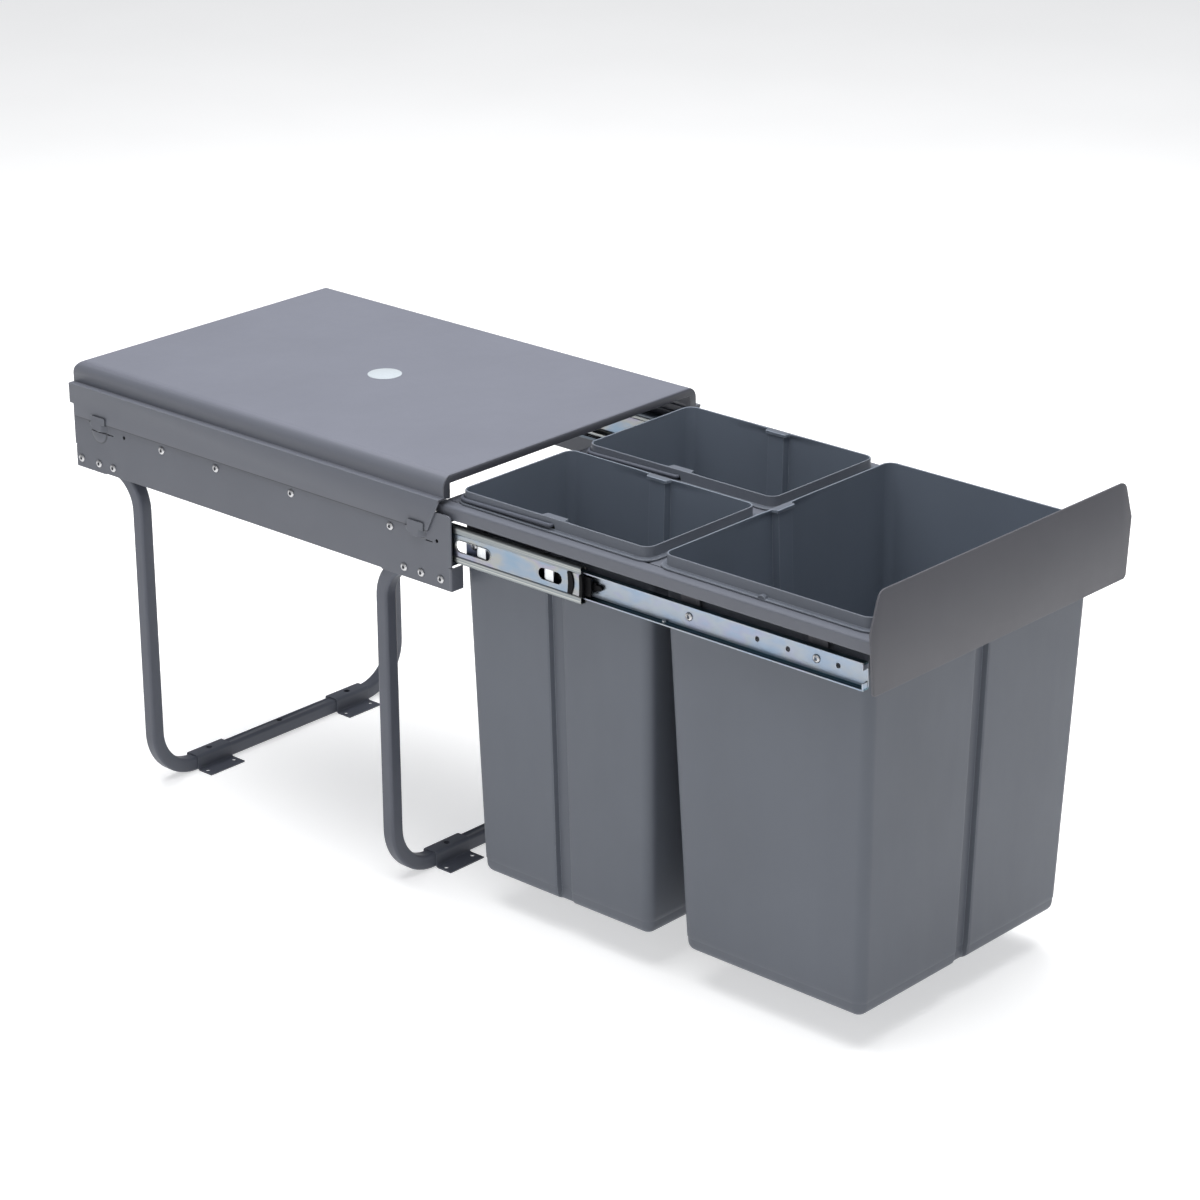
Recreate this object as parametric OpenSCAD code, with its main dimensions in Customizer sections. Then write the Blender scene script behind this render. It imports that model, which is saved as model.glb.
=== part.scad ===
// Pull out bin frame: two bent tube legs carry two side plates and a cover.
// A drawer tray runs out on ball slides and holds one large and two small bins.
// Millimetres. X is across, -Y is the pull-out direction, Z is up.
// The floor is z = 0. The origin is the centre of the outer flange holes.
// Left is the side at -X, as seen from the front.

/* [Show] */
// which piece to draw

/* [Side plates] */
// outside width over the two side plates
frame_w = 340; // [320:1:380]
// length of a side plate
frame_l = 498; // [480:1:560]
// sheet thickness of a side plate
plate_t = 1.5; // [1:0.1:2]
// lower edge of the side plates above the floor
plate_low_z = 310; // [305:1:315]
// upper edge of the side plates above the floor
plate_top_z = 379; // [376:1:382]

/* [Legs] */
// side of the square tube
tube = 14; // [12:0.5:15]
// wall of the square tube
tube_wall = 1.5; // [1:0.1:2]
// outside corner radius of the square tube
tube_r = 3; // [2:0.5:4]
// centre line radius of the bends at the floor
floor_bend_r = 46; // [40:1:50]
// centre line radius of the bends under the side plates
top_bend_r = 38; // [32:1:42]
// centre of the rear leg
rear_leg_y = 179; // [160:1:185]
// centre of the front leg
front_leg_y = -147; // [-160:1:-130]

/* [Feet] */
// length of a foot bracket
foot_l = 44; // [38:1:50]
// centre of a foot bracket from the middle of the part
foot_x = 93.5; // [85:0.5:94]
// reach of a foot flange in front of its wall
foot_flange = 18; // [14:0.5:22]
// sheet thickness of a foot bracket
foot_t = 1.5; // [1:0.1:2]
// distance between the two holes of a foot flange
foot_hole_gap = 34; // [26:1:36]

/* [Slides] */
// centre line of the slides above the floor
slide_z = 353; // [351:0.5:354]
// height of the outer slide member
outer_slide_h = 42; // [41:0.5:42]
// length of the outer slide member
outer_slide_l = 450; // [430:1:450]
// length of the middle and inner slide members
inner_slide_l = 440; // [420:1:440]

/* [Tray] */
// upper face of the tray above the floor
tray_top_z = 386; // [385:0.5:388]
// depth of the tray edge band
tray_band_h = 11.5; // [8:0.5:11.5]
// sheet thickness of the tray
tray_t = 1.2; // [1:0.1:1.5]

/* [Front panel] */
// lower edge of the front panel above the floor
panel_low_z = 343; // [337:1:347]
// upper edge of the front panel above the floor
panel_top_z = 431; // [422:1:437]
// sheet thickness of the front panel
panel_t = 1.5; // [1:0.1:3]

/* [Bins] */
// underside of the bins above the floor
bin_low_z = 34; // [22:1:60]
// rim of the bins above the floor
bin_rim_z = 398; // [397:0.5:399]
// depth of the large bin from front to back at its rim
large_bin_d = 219.5; // [200:0.5:225]
// depth of a small bin from front to back at its rim
small_bin_d = 216; // [200:0.5:220]
// wall thickness of the bins
bin_wall = 1.5; // [1.2:0.1:2.2]
// corner radius of the bins
bin_r = 10; // [8:0.5:14]
// diameter of the handle wire
wire_d = 3.5; // [3:0.1:3.6]

/* [Cover] */
// top of the cover above the floor
cover_top_z = 412; // [410:1:417]
// sheet thickness of the cover
cover_t = 1.5; // [1:0.1:1.8]
// lower edge of the cover skirt above the floor
skirt_low_z = 360; // [358:0.5:362]

/* [Hidden] */
$fn = 48;

// overshoot of a cut past the face that it leaves
cut = 1;
// overlap of two stacked solids
thin = 0.01;
// middle of the side plates behind the middle of the bolt pattern
plate_mid_y = 11.5;
plate_x = frame_w / 2;
plate_in_x = plate_x - plate_t;
plate_front_y = plate_mid_y - frame_l / 2;
plate_rear_y = plate_mid_y + frame_l / 2;
plate_corner_r = 4;
end_tab_w = 14.5;
end_tab_h = 21;
bottom_step = 1;
front_step_y = plate_front_y + 86;
rear_step_y = plate_rear_y - 42;

// pockets that the cover skirt stands in
pocket_gap = 0.3;
seat_gap = 0.1;
pocket_t = 1.3;
pocket_low_z = skirt_low_z - 12;
pocket_top_z = skirt_low_z + 7;
front_pocket_y = plate_front_y + 42;
rear_pocket_y = plate_rear_y - 36;
pocket_l = 24;
half_moon_r = 13;
gauge_hole_r = 1.6;
front_gauge_y = plate_front_y + 17;
rear_gauge_y = plate_rear_y - 71;

// cover
cover_bend_r = 12;
cover_front_r = 3;
cover_rear_r = 10;
skirt_gap = 0.4;
skirt_out_x = plate_x + skirt_gap + cover_t;
cover_wall_x = skirt_out_x - 6.6;
ledge_z = cover_top_z - 20;
cover_front_y = plate_front_y + 12;
cover_rear_y = plate_rear_y + 3;
skirt_back_y = cover_front_y + 15;
cover_lip = 8;
tail_y = plate_rear_y - 3;
tail_z = skirt_low_z + 12.5;
sticker_r = 16;
sticker_t = 0.3;

// legs
tube_h = tube / 2;
leg_x = plate_in_x - tube_h;
leg_top_z = plate_low_z + 9;
rivet_r = 2.4;
rivet_head_r = 3.9;
rivet_head_h = 1.7;
mandrel_r = 1.3;
tie_hole_r = 3;
floor_hole_r = 3;
flange_hole_r = 2.25;
foot_lip = 3;
foot_hole_in = 7.5;

// slide, counted inwards from the side plate
sheet = 1.2;
gap = 0.3;
cage_t = 0.4;
outer_depth = 11.6;
outer_lip = 3.3;
mid_band_u = sheet + gap + cage_t + gap;
mid_web_u = mid_band_u + 0.7;
mid_t = 1;
mid_depth = 10;
mid_h = outer_slide_h - 8;
mid_band_h = 7;
mid_lip = 2.6;
inner_cage_u = mid_web_u + mid_t + gap;
inner_tip_u = inner_cage_u + cage_t + gap;
inner_web_u = 11.3;
inner_h = mid_h - 10;
outer_ball_d = (outer_slide_h - mid_h) / 2 - sheet - 2 * gap;
outer_ball_z = mid_h / 2 + gap + outer_ball_d / 2;
outer_ball_u = 5.5;
inner_ball_d = (mid_h - inner_h) / 2 - sheet - 2 * gap;
inner_ball_z = inner_h / 2 + gap + inner_ball_d / 2;
inner_cage_end_u = mid_depth - mid_t - gap;
inner_ball_u = (inner_cage_u + inner_cage_end_u) / 2;
ball_play = 0.1;
ball_pitch = 12;
outer_front_y = plate_front_y + 3;
mid_front_y = outer_front_y - 151;
inner_front_y = outer_front_y - 449;
inner_rear_y = inner_front_y + inner_slide_l;
outer_cage_y = outer_front_y + 75;
outer_cage_l = 140;
inner_cage_y = mid_front_y + 31;
inner_cage_l = 112;
strap_w = 10;
front_strap_y = mid_front_y + 38;
rear_strap_y = mid_front_y + 117;
front_slot_y = mid_front_y + 35.5;
rear_slot_y = mid_front_y + 125.5;
front_slot_l = 27;
rear_slot_l = 41;
slot_h = 10.5;
slide_rivet_y = [outer_front_y + 371, outer_front_y + 297, outer_front_y + 197, outer_front_y + 71];

// tray
rail_x = plate_in_x - 3.5;
rail_w = 13.5;
rail_lip = 9;
rail_in_x = rail_x - rail_w;
lug_t = 1.5;
lug_out_x = plate_in_x - inner_web_u - sheet;
lug_w = 20;
lug_in = [52, 186, 360, 430];
lug_y = [for (d = lug_in) inner_front_y + d];
lug_low_z = slide_z - inner_h / 2;
tray_ahead = 15;
tray_front_y = inner_front_y - tray_ahead;
panel_front_y = tray_front_y - panel_t;
bin_seat_gap = 1;
bin_seat_z = tray_top_z + seat_gap;
collar_x = rail_in_x - bin_seat_gap;
front_bar_w = 16;
large_front_y = tray_front_y + front_bar_w + bin_seat_gap;
large_rear_y = large_front_y + large_bin_d;
cross_bar_w = 13;
cross_bar_y = large_rear_y + bin_seat_gap;
small_front_y = cross_bar_y + cross_bar_w + bin_seat_gap;
small_rear_y = small_front_y + small_bin_d;
rear_bar_y = small_rear_y + bin_seat_gap;
rear_bar_w = 14.5;
tray_rear_y = rear_bar_y + rear_bar_w;
centre_bar_w = 19;
panel_wide_up = 54;
panel_wide_z = panel_low_z + panel_wide_up;
panel_low_x = rail_x + 7;
panel_wide_x = rail_x + 11.5;
panel_top_x = rail_x + 3;
panel_low_r = 4;
panel_top_r = 9;
arc_steps = 8;

// bins
flange_w = 4.6;
flange_t = 2;
flange_top_z = bin_seat_z + flange_t;
large_draft_x = 13;
large_draft_y = 13;
small_draft_x = 10;
small_draft_y = 8;
foot_band_h = 13;
foot_in = [6.5, 3.2, 1.2, 0.5];
foot_up = [0, 0.15, 0.5, 1];
rib_w = 20;
rib_d = 5.5;
groove_w = rib_w - 2 * bin_wall;
groove_top = 3;
small_collar_in_x = centre_bar_w / 2 + bin_seat_gap;
small_w = collar_x - small_collar_in_x;
small_x = (collar_x + small_collar_in_x) / 2;
small_y = (small_front_y + small_rear_y) / 2;
large_y = (large_front_y + large_rear_y) / 2;
nub_r = 4.5;

// handles
wire_r = wire_d / 2;
pin_play = 0.08;
pin_depth = 5;
wire_off = wire_r + 0.45;
wire_bend_r = wire_off;
pivot_z = flange_top_z + wire_r + 2;
large_reach = collar_x + wire_off;
large_span = large_bin_d + 2 * wire_off;
small_reach = small_bin_d / 2 + wire_off;
small_span = small_w + 2 * wire_off;
handle_corner_r = bin_r + wire_off;
nub_play = 0.3;
large_handle_lift = asin((flange_top_z + nub_r + nub_play + wire_r - pivot_z) / large_reach);
small_handle_drop = asin((pivot_z - flange_top_z - wire_r - nub_play) / small_reach);

module round_rect(w, d, r) {
    square([w - 2 * r, d], center = true);
    square([w, d - 2 * r], center = true);
    for (sx = [-1, 1])
        for (sy = [-1, 1])
            translate([sx * (w / 2 - r), sy * (d / 2 - r)])
                circle(r);
}

// a 2D shape with x across and y up, drawn out from y0 to y1 along Y
module along_y(y0, y1) {
    translate([0, y1, 0])
        rotate([90, 0, 0])
            linear_extrude(y1 - y0)
                children();
}

// a 2D shape with x along Y and y up, drawn out from x0 to x1 along X
module along_x(x0, x1) {
    translate([x0, 0, 0])
        rotate([90, 0, 90])
            linear_extrude(x1 - x0)
                children();
}

module hole_along_x(x0, x1, y, z, r) {
    translate([x0, y, z])
        rotate([0, 90, 0])
            cylinder(h = x1 - x0, r = r);
}

// Side plates

module plate_outline() {
    difference() {
        union() {
            translate([plate_front_y, plate_low_z])
                square([frame_l, plate_top_z - plate_low_z - plate_corner_r]);
            translate([plate_front_y + plate_corner_r, plate_top_z - 2 * plate_corner_r])
                square([frame_l - 2 * plate_corner_r, 2 * plate_corner_r]);
            for (y = [plate_front_y + plate_corner_r, plate_rear_y - plate_corner_r])
                translate([y, plate_top_z - plate_corner_r])
                    circle(plate_corner_r);
        }
        // the edge between the two end flanges sits a little higher
        translate([front_step_y, plate_low_z - cut])
            square([rear_step_y - front_step_y, bottom_step + cut]);
        for (y = [front_gauge_y, rear_gauge_y])
            translate([y, slide_z])
                circle(gauge_hole_r);
        // relief slits beside the pockets
        for (y = [front_pocket_y - pocket_l / 2 - 8, rear_pocket_y - pocket_l / 2 - 8])
            translate([y, pocket_low_z + 2.5])
                square([8, 1.2]);
    }
}

// pressed half moon with a tongue in front of the cover skirt
module pocket(y) {
    tongue_in_x = skirt_out_x + pocket_gap;
    along_x(-tongue_in_x - pocket_t, -tongue_in_x)
        translate([y - pocket_l / 2, pocket_low_z])
            square([pocket_l, pocket_top_z - pocket_low_z]);
    along_x(-tongue_in_x, -plate_x)
        translate([y - pocket_l / 2, pocket_low_z])
            square([pocket_l, skirt_low_z - seat_gap - pocket_low_z]);
    along_x(-tongue_in_x, -plate_x)
        intersection() {
            translate([y, pocket_low_z + 3])
                circle(half_moon_r);
            translate([y - half_moon_r, pocket_low_z - half_moon_r])
                square([2 * half_moon_r, half_moon_r]);
        }
}

module side_plate() {
    difference() {
        union() {
            along_x(-plate_x, -plate_in_x)
                plate_outline();
            // end tabs folded in over the ends of the leg tubes
            for (y = [plate_front_y, plate_rear_y - plate_t])
                along_y(y, y + plate_t)
                    translate([-plate_in_x, plate_low_z])
                        square([end_tab_w - plate_t, end_tab_h]);
            pocket(front_pocket_y);
            pocket(rear_pocket_y);
        }
        for (y = slide_rivet_y)
            hole_along_x(-plate_x - cut, -plate_in_x + cut, y, slide_z, rivet_r);
        for (p = leg_rivets)
            hole_along_x(-plate_x - cut, -plate_in_x + cut, p[0], p[1], rivet_r);
    }
}

leg_rivets = [[plate_front_y + 13, leg_top_z], [plate_front_y + 37, leg_top_z],
    [plate_front_y + 58, leg_top_z], [plate_rear_y - 8, leg_top_z],
    [plate_rear_y - 33, leg_top_z], [plate_rear_y - 53, leg_top_z]];

module side_plate_left() {
    color("#6E727B")
        side_plate();
}

module side_plate_right() {
    color("#6E727B")
        mirror([1, 0, 0])
            side_plate();
}

// Legs

module tube_ring() {
    difference() {
        round_rect(tube, tube, tube_r);
        round_rect(tube - 2 * tube_wall, tube - 2 * tube_wall, tube_r - tube_wall);
    }
}

// one bent tube: top run, bend, leg, bend, floor run, bend, leg, bend, top run
// side is 1 where the top runs point to +Y and -1 where they point to -Y
module leg(leg_y, end_y, side) {
    bend_low_z = leg_top_z - top_bend_r;
    floor_z = tube_h + floor_bend_r;
    floor_x = leg_x - floor_bend_r;
    run_y = leg_y + side * top_bend_r;
    difference() {
        union() {
            translate([-floor_x, leg_y, tube_h])
                rotate([0, 90, 0])
                    linear_extrude(2 * floor_x)
                        tube_ring();
            for (s = [-1, 1]) {
                translate([s * leg_x, leg_y, floor_z])
                    linear_extrude(bend_low_z - floor_z)
                        tube_ring();
                translate([s * floor_x, leg_y, floor_z])
                    rotate([90, 0, 0])
                        rotate([0, 0, s < 0 ? 180 : 270])
                            rotate_extrude(angle = 90)
                                translate([floor_bend_r, 0])
                                    tube_ring();
                translate([s * leg_x, run_y, bend_low_z])
                    rotate([90, 0, 90])
                        rotate([0, 0, side > 0 ? 90 : 0])
                            rotate_extrude(angle = 90)
                                translate([top_bend_r, 0])
                                    tube_ring();
                translate([s * leg_x, min(run_y, end_y), leg_top_z])
                    rotate([-90, 0, 0])
                        linear_extrude(abs(end_y - run_y))
                            tube_ring();
            }
        }
        // floor screws through the foot brackets and one spare hole in the middle
        for (x = [-foot_x, 0, foot_x])
            translate([x, leg_y, -cut])
                cylinder(h = tube + 2 * cut, r = floor_hole_r);
        for (s = [-1, 1])
            for (p = leg_rivets)
                hole_along_x(s > 0 ? leg_x : -plate_in_x - cut, s > 0 ? plate_in_x + cut : -leg_x,
                    p[0], p[1], rivet_r);
    }
}

module rear_leg() {
    color("#666A73")
        leg(rear_leg_y, plate_rear_y - plate_t, 1);
}

module front_leg() {
    color("#666A73")
        leg(front_leg_y, plate_front_y + plate_t, -1);
}

// saddle of bent sheet over the floor run, with a flange to the front
module foot(x, leg_y) {
    wall_y = leg_y - tube_h - foot_t;
    translate([x, 0, 0])
        difference() {
            union() {
                translate([-foot_l / 2, wall_y, tube])
                    cube([foot_l, tube + 2 * foot_t, foot_t]);
                translate([-foot_l / 2, wall_y, 0])
                    cube([foot_l, foot_t, tube + foot_t]);
                translate([-foot_l / 2, leg_y + tube_h, tube - foot_lip])
                    cube([foot_l, foot_t, foot_lip + foot_t]);
                translate([-foot_l / 2, wall_y - foot_flange, 0])
                    cube([foot_l, foot_flange, foot_t]);
            }
            translate([0, leg_y, tube - cut])
                cylinder(h = foot_t + 2 * cut, r = floor_hole_r);
            for (s = [-1, 1])
                translate([s * foot_hole_gap / 2, wall_y - foot_hole_in, -cut])
                    cylinder(h = foot_t + 2 * cut, r = flange_hole_r);
        }
}

module foot_rear_left() {
    color("#62666F")
        foot(-foot_x, rear_leg_y);
}

module foot_rear_right() {
    color("#62666F")
        foot(foot_x, rear_leg_y);
}

module foot_front_left() {
    color("#62666F")
        foot(-foot_x, front_leg_y);
}

module foot_front_right() {
    color("#62666F")
        foot(foot_x, front_leg_y);
}

// Blind rivets: domed head outside with the mandrel hole in its middle

module blind_rivet(x_head, x_end, y, z) {
    translate([x_head, y, z])
        rotate([0, 90, 0])
            difference() {
                union() {
                    cylinder(h = x_end - x_head, r = rivet_r);
                    intersection() {
                        translate([0, 0, rivet_head_r * 1.6 - rivet_head_h])
                            sphere(rivet_head_r * 1.6);
                        translate([0, 0, -rivet_head_h])
                            cylinder(h = rivet_head_h, r = rivet_head_r);
                    }
                }
                translate([0, 0, -rivet_head_h - cut])
                    cylinder(h = rivet_head_h + cut + 1, r = mandrel_r);
            }
}

module slide_rivets() {
    for (y = slide_rivet_y)
        blind_rivet(-plate_x, -plate_in_x + sheet, y, slide_z);
}

module slide_rivets_left() {
    color("#C9CBD0")
        slide_rivets();
}

module slide_rivets_right() {
    color("#C9CBD0")
        mirror([1, 0, 0])
            slide_rivets();
}

module leg_rivet_set() {
    for (p = leg_rivets)
        blind_rivet(-plate_x, -plate_in_x + tube_wall, p[0], p[1]);
}

module leg_rivets_left() {
    color("#C9CBD0")
        leg_rivet_set();
}

module leg_rivets_right() {
    color("#C9CBD0")
        mirror([1, 0, 0])
            leg_rivet_set();
}

// Slides: profiles with x counted inwards from the plate and y from the centre line

module outer_slide_profile() {
    half = outer_slide_h / 2;
    translate([0, -half])
        square([sheet, outer_slide_h]);
    for (s = [-1, 1]) {
        translate([0, s * (half - sheet / 2) - sheet / 2])
            square([outer_depth, sheet]);
        translate([outer_depth - sheet, s * (half - outer_lip / 2) - outer_lip / 2])
            square([sheet, outer_lip]);
    }
}

module middle_slide_profile() {
    half = mid_h / 2;
    web_half = half - mid_band_h;
    translate([mid_web_u, -web_half])
        square([mid_t, 2 * web_half]);
    for (s = [-1, 1]) {
        translate([mid_band_u, s * (half - mid_band_h / 2) - mid_band_h / 2])
            square([mid_t, mid_band_h]);
        translate([mid_band_u, s * (web_half + mid_t / 2) - mid_t / 2])
            square([mid_web_u + mid_t - mid_band_u, mid_t]);
        translate([mid_band_u, s * (half - sheet / 2) - sheet / 2])
            square([mid_depth - mid_band_u, sheet]);
        translate([mid_depth - mid_t, s * (half - sheet - mid_lip / 2) - mid_lip / 2])
            square([mid_t, mid_lip + cut / 100]);
    }
}

module inner_slide_profile() {
    half = inner_h / 2;
    translate([inner_web_u, -half])
        square([sheet, inner_h]);
    for (s = [-1, 1])
        translate([inner_tip_u, s * (half - sheet / 2) - sheet / 2])
            square([inner_web_u + sheet - inner_tip_u, sheet]);
}

// places a slide profile against the inside of the left side plate
module slide_run(y0, y1) {
    along_y(y0, y1)
        translate([-plate_in_x, slide_z])
            children();
}

module slot_along_x(u0, u1, y, z, l, h) {
    translate([-plate_in_x + u0, y, z])
        rotate([90, 0, 90])
            linear_extrude(u1 - u0) {
                square([l - h, h], center = true);
                for (s = [-1, 1])
                    translate([s * (l - h) / 2, 0])
                        circle(h / 2);
            }
}

module outer_slide() {
    difference() {
        slide_run(outer_front_y, outer_front_y + outer_slide_l)
            outer_slide_profile();
        for (y = slide_rivet_y)
            hole_along_x(-plate_in_x - cut, -plate_in_x + sheet + cut, y, slide_z, rivet_r);
    }
}

module outer_slide_left() {
    color("#A9B3BC")
        outer_slide();
}

module outer_slide_right() {
    color("#A9B3BC")
        mirror([1, 0, 0])
            outer_slide();
}

module middle_slide() {
    difference() {
        slide_run(mid_front_y, mid_front_y + inner_slide_l)
            middle_slide_profile();
        slot_along_x(mid_web_u - cut / 2, mid_web_u + mid_t + cut / 2, front_slot_y, slide_z,
            front_slot_l, slot_h);
        slot_along_x(mid_web_u - cut / 2, mid_web_u + mid_t + cut / 2, rear_slot_y, slide_z,
            rear_slot_l, slot_h);
    }
}

module middle_slide_left() {
    color("#C4C8C6")
        middle_slide();
}

module middle_slide_right() {
    color("#C4C8C6")
        mirror([1, 0, 0])
            middle_slide();
}

// plastic stop on the front end of the middle member, with a keeper on its web
module slide_bumper() {
    cap_h = mid_h - 2 * mid_band_h;
    cap_t = 2.5;
    keeper_y = mid_front_y + 8;
    keeper_w = 7;
    translate([-plate_in_x + mid_band_u, mid_front_y - cap_t, slide_z - cap_h / 2])
        cube([mid_web_u + mid_t - mid_band_u, cap_t, cap_h]);
    translate([-plate_in_x + mid_band_u, keeper_y, slide_z - cap_h / 2])
        cube([mid_web_u - mid_band_u, keeper_w, cap_h]);
}

module slide_bumper_left() {
    color("#1B1C1E")
        slide_bumper();
}

module slide_bumper_right() {
    color("#1B1C1E")
        mirror([1, 0, 0])
            slide_bumper();
}

function ball_rows(y0, l) = [for (i = [0 : floor((l - ball_pitch) / ball_pitch)])
    y0 + ball_pitch / 2 + (l - ball_pitch * (floor((l - ball_pitch) / ball_pitch) + 1)) / 2 + i * ball_pitch];

module balls(y0, l, u, z, d) {
    for (y = ball_rows(y0, l))
        for (s = [-1, 1])
            translate([-plate_in_x + u, y, slide_z + s * z])
                sphere(d / 2, $fn = 20);
}

// cage strips with a hole round each ball
module cage_strips(y0, l, u0, u1, u, z, d) {
    difference() {
        for (s = [-1, 1])
            translate([-plate_in_x + u0, y0, slide_z + s * z - cage_t / 2])
                cube([u1 - u0, l, cage_t]);
        for (y = ball_rows(y0, l))
            for (s = [-1, 1])
                translate([-plate_in_x + u, y, slide_z + s * z - cage_t])
                    cylinder(h = 2 * cage_t, r = d / 2 + ball_play, $fn = 20);
    }
}

module outer_cage() {
    u = sheet + gap;
    cage_strips(outer_cage_y, outer_cage_l, u, outer_ball_u + 2.2, outer_ball_u, outer_ball_z,
        outer_ball_d);
    translate([-plate_in_x + u, outer_cage_y, slide_z - outer_ball_z])
        cube([cage_t, outer_cage_l, 2 * outer_ball_z]);
}

module outer_cage_left() {
    color("#8F979E")
        outer_cage();
}

module outer_cage_right() {
    color("#8F979E")
        mirror([1, 0, 0])
            outer_cage();
}

module outer_balls_left() {
    color("#D5D8DA")
        balls(outer_cage_y, outer_cage_l, outer_ball_u, outer_ball_z, outer_ball_d);
}

module outer_balls_right() {
    color("#D5D8DA")
        mirror([1, 0, 0])
            balls(outer_cage_y, outer_cage_l, outer_ball_u, outer_ball_z, outer_ball_d);
}

// ladder cage: its straps show through the slots of the middle member
module inner_cage() {
    cage_strips(inner_cage_y, inner_cage_l, inner_cage_u, inner_cage_end_u, inner_ball_u, inner_ball_z,
        inner_ball_d);
    for (y = [front_strap_y, rear_strap_y])
        translate([-plate_in_x + inner_cage_u, y - strap_w / 2, slide_z - inner_ball_z])
            cube([cage_t, strap_w, 2 * inner_ball_z]);
}

module inner_cage_left() {
    color("#DADDE0")
        inner_cage();
}

module inner_cage_right() {
    color("#DADDE0")
        mirror([1, 0, 0])
            inner_cage();
}

module inner_balls_left() {
    color("#D5D8DA")
        balls(inner_cage_y, inner_cage_l, inner_ball_u, inner_ball_z, inner_ball_d);
}

module inner_balls_right() {
    color("#D5D8DA")
        mirror([1, 0, 0])
            balls(inner_cage_y, inner_cage_l, inner_ball_u, inner_ball_z, inner_ball_d);
}

module inner_slide() {
    web_x0 = -plate_in_x + inner_web_u;
    tab_h = 7;
    difference() {
        union() {
            slide_run(inner_front_y, inner_rear_y)
                inner_slide_profile();
            // tabs turned across the front end
            for (s = [-1, 1])
                translate([-plate_in_x + inner_tip_u, inner_front_y,
                        slide_z + s * (inner_h / 2 - tab_h / 2) - tab_h / 2])
                    cube([inner_web_u - inner_tip_u, sheet, tab_h]);
            // pressed stop on the lower flange
            translate([web_x0 - 2.5, inner_front_y + 211, slide_z - inner_h / 2 + sheet])
                cylinder(h = 1.6, r = 1.8);
        }
        for (y = lug_y)
            hole_along_x(web_x0 - cut, web_x0 + sheet + cut, y, slide_z, rivet_r);
        for (d = [30, 81.5, 113.5])
            hole_along_x(web_x0 - cut, web_x0 + sheet + cut, inner_front_y + d, slide_z, 2.3);
        hole_along_x(web_x0 - cut, web_x0 + sheet + cut, lever_y, slide_z, lever_pin_r + pin_play);
    }
}

module inner_slide_left() {
    color("#AEBBC9")
        inner_slide();
}

module inner_slide_right() {
    color("#AEBBC9")
        mirror([1, 0, 0])
            inner_slide();
}

// release lever in the inner member: it tips about a moulded pin in the web
lever_y = inner_front_y + 330;
lever_pin_r = 2;
lever_l = 46;
lever_h = 8;
lever_t = 2.6;
lever_play = 0.3;

module release_lever() {
    lever_x = -plate_in_x + inner_web_u - lever_play - lever_t;
    difference() {
        along_x(lever_x, lever_x + lever_t) {
            translate([lever_y - lever_l, slide_z - lever_h / 2])
                square([lever_l, lever_h]);
            translate([lever_y, slide_z])
                circle(lever_h / 2);
            translate([lever_y - lever_l, slide_z])
                circle(lever_h / 2);
        }
        hole_along_x(lever_x - cut, lever_x + lever_t + cut, lever_y - lever_l, slide_z, 1.4);
    }
    hole_along_x(lever_x + lever_t - 0.01, -plate_in_x + inner_web_u + sheet, lever_y, slide_z, lever_pin_r);
}

module release_lever_left() {
    color("#17181A")
        release_lever();
}

module release_lever_right() {
    color("#17181A")
        mirror([1, 0, 0])
            release_lever();
}

// Tray

module tray_rail() {
    along_y(tray_front_y, tray_rear_y) {
        translate([-rail_x, tray_top_z - tray_t])
            square([rail_w, tray_t]);
        translate([-rail_x, tray_top_z - tray_band_h])
            square([tray_t, tray_band_h]);
        translate([-rail_in_x - tray_t, tray_top_z - rail_lip])
            square([tray_t, rail_lip]);
    }
}

module tray_rail_left() {
    color("#6B6D74")
        tray_rail();
}

module tray_rail_right() {
    color("#6B6D74")
        mirror([1, 0, 0])
            tray_rail();
}

// channel across the tray between the two rails, open below
module cross_channel(y0, w) {
    along_x(-rail_in_x, rail_in_x) {
        translate([y0, tray_top_z - tray_t])
            square([w, tray_t]);
        for (y = [y0, y0 + w - tray_t])
            translate([y, tray_top_z - rail_lip])
                square([tray_t, rail_lip]);
    }
}

module tray_front_bar() {
    color("#6B6D74")
        cross_channel(tray_front_y, front_bar_w);
}

module tray_rear_bar() {
    color("#6B6D74")
        cross_channel(rear_bar_y, rear_bar_w);
}

module tray_cross_bar() {
    color("#6B6D74")
        cross_channel(cross_bar_y, cross_bar_w);
}

module tray_centre_bar() {
    color("#6B6D74")
        along_y(cross_bar_y + cross_bar_w, rear_bar_y) {
            translate([-centre_bar_w / 2, tray_top_z - tray_t])
                square([centre_bar_w, tray_t]);
            for (x = [-centre_bar_w / 2, centre_bar_w / 2 - tray_t])
                translate([x, tray_top_z - rail_lip])
                    square([tray_t, rail_lip]);
        }
}

// strips that hang from the rail and carry the inner slide member
module slide_lugs() {
    difference() {
        for (y = lug_y)
            translate([-lug_out_x, y - lug_w / 2, lug_low_z])
                cube([lug_t, lug_w, tray_top_z - tray_t - lug_low_z]);
        for (y = lug_y)
            hole_along_x(-lug_out_x - cut, -lug_out_x + lug_t + cut, y, slide_z, rivet_r);
    }
}

module slide_lugs_left() {
    color("#7A7D84")
        slide_lugs();
}

module slide_lugs_right() {
    color("#7A7D84")
        mirror([1, 0, 0])
            slide_lugs();
}

module lug_rivet_set() {
    for (y = lug_y)
        blind_rivet(-plate_in_x + inner_web_u, -lug_out_x + lug_t, y, slide_z);
}

module lug_rivets_left() {
    color("#C9CBD0")
        lug_rivet_set();
}

module lug_rivets_right() {
    color("#C9CBD0")
        mirror([1, 0, 0])
            lug_rivet_set();
}

// points of a corner arc from angle a0 to a1, going anticlockwise
function arc_points(c, r, a0, a1) = [for (i = [0 : arc_steps])
    c + r * [cos(a0 + (a1 - a0) * i / arc_steps), sin(a0 + (a1 - a0) * i / arc_steps)]];

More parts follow.
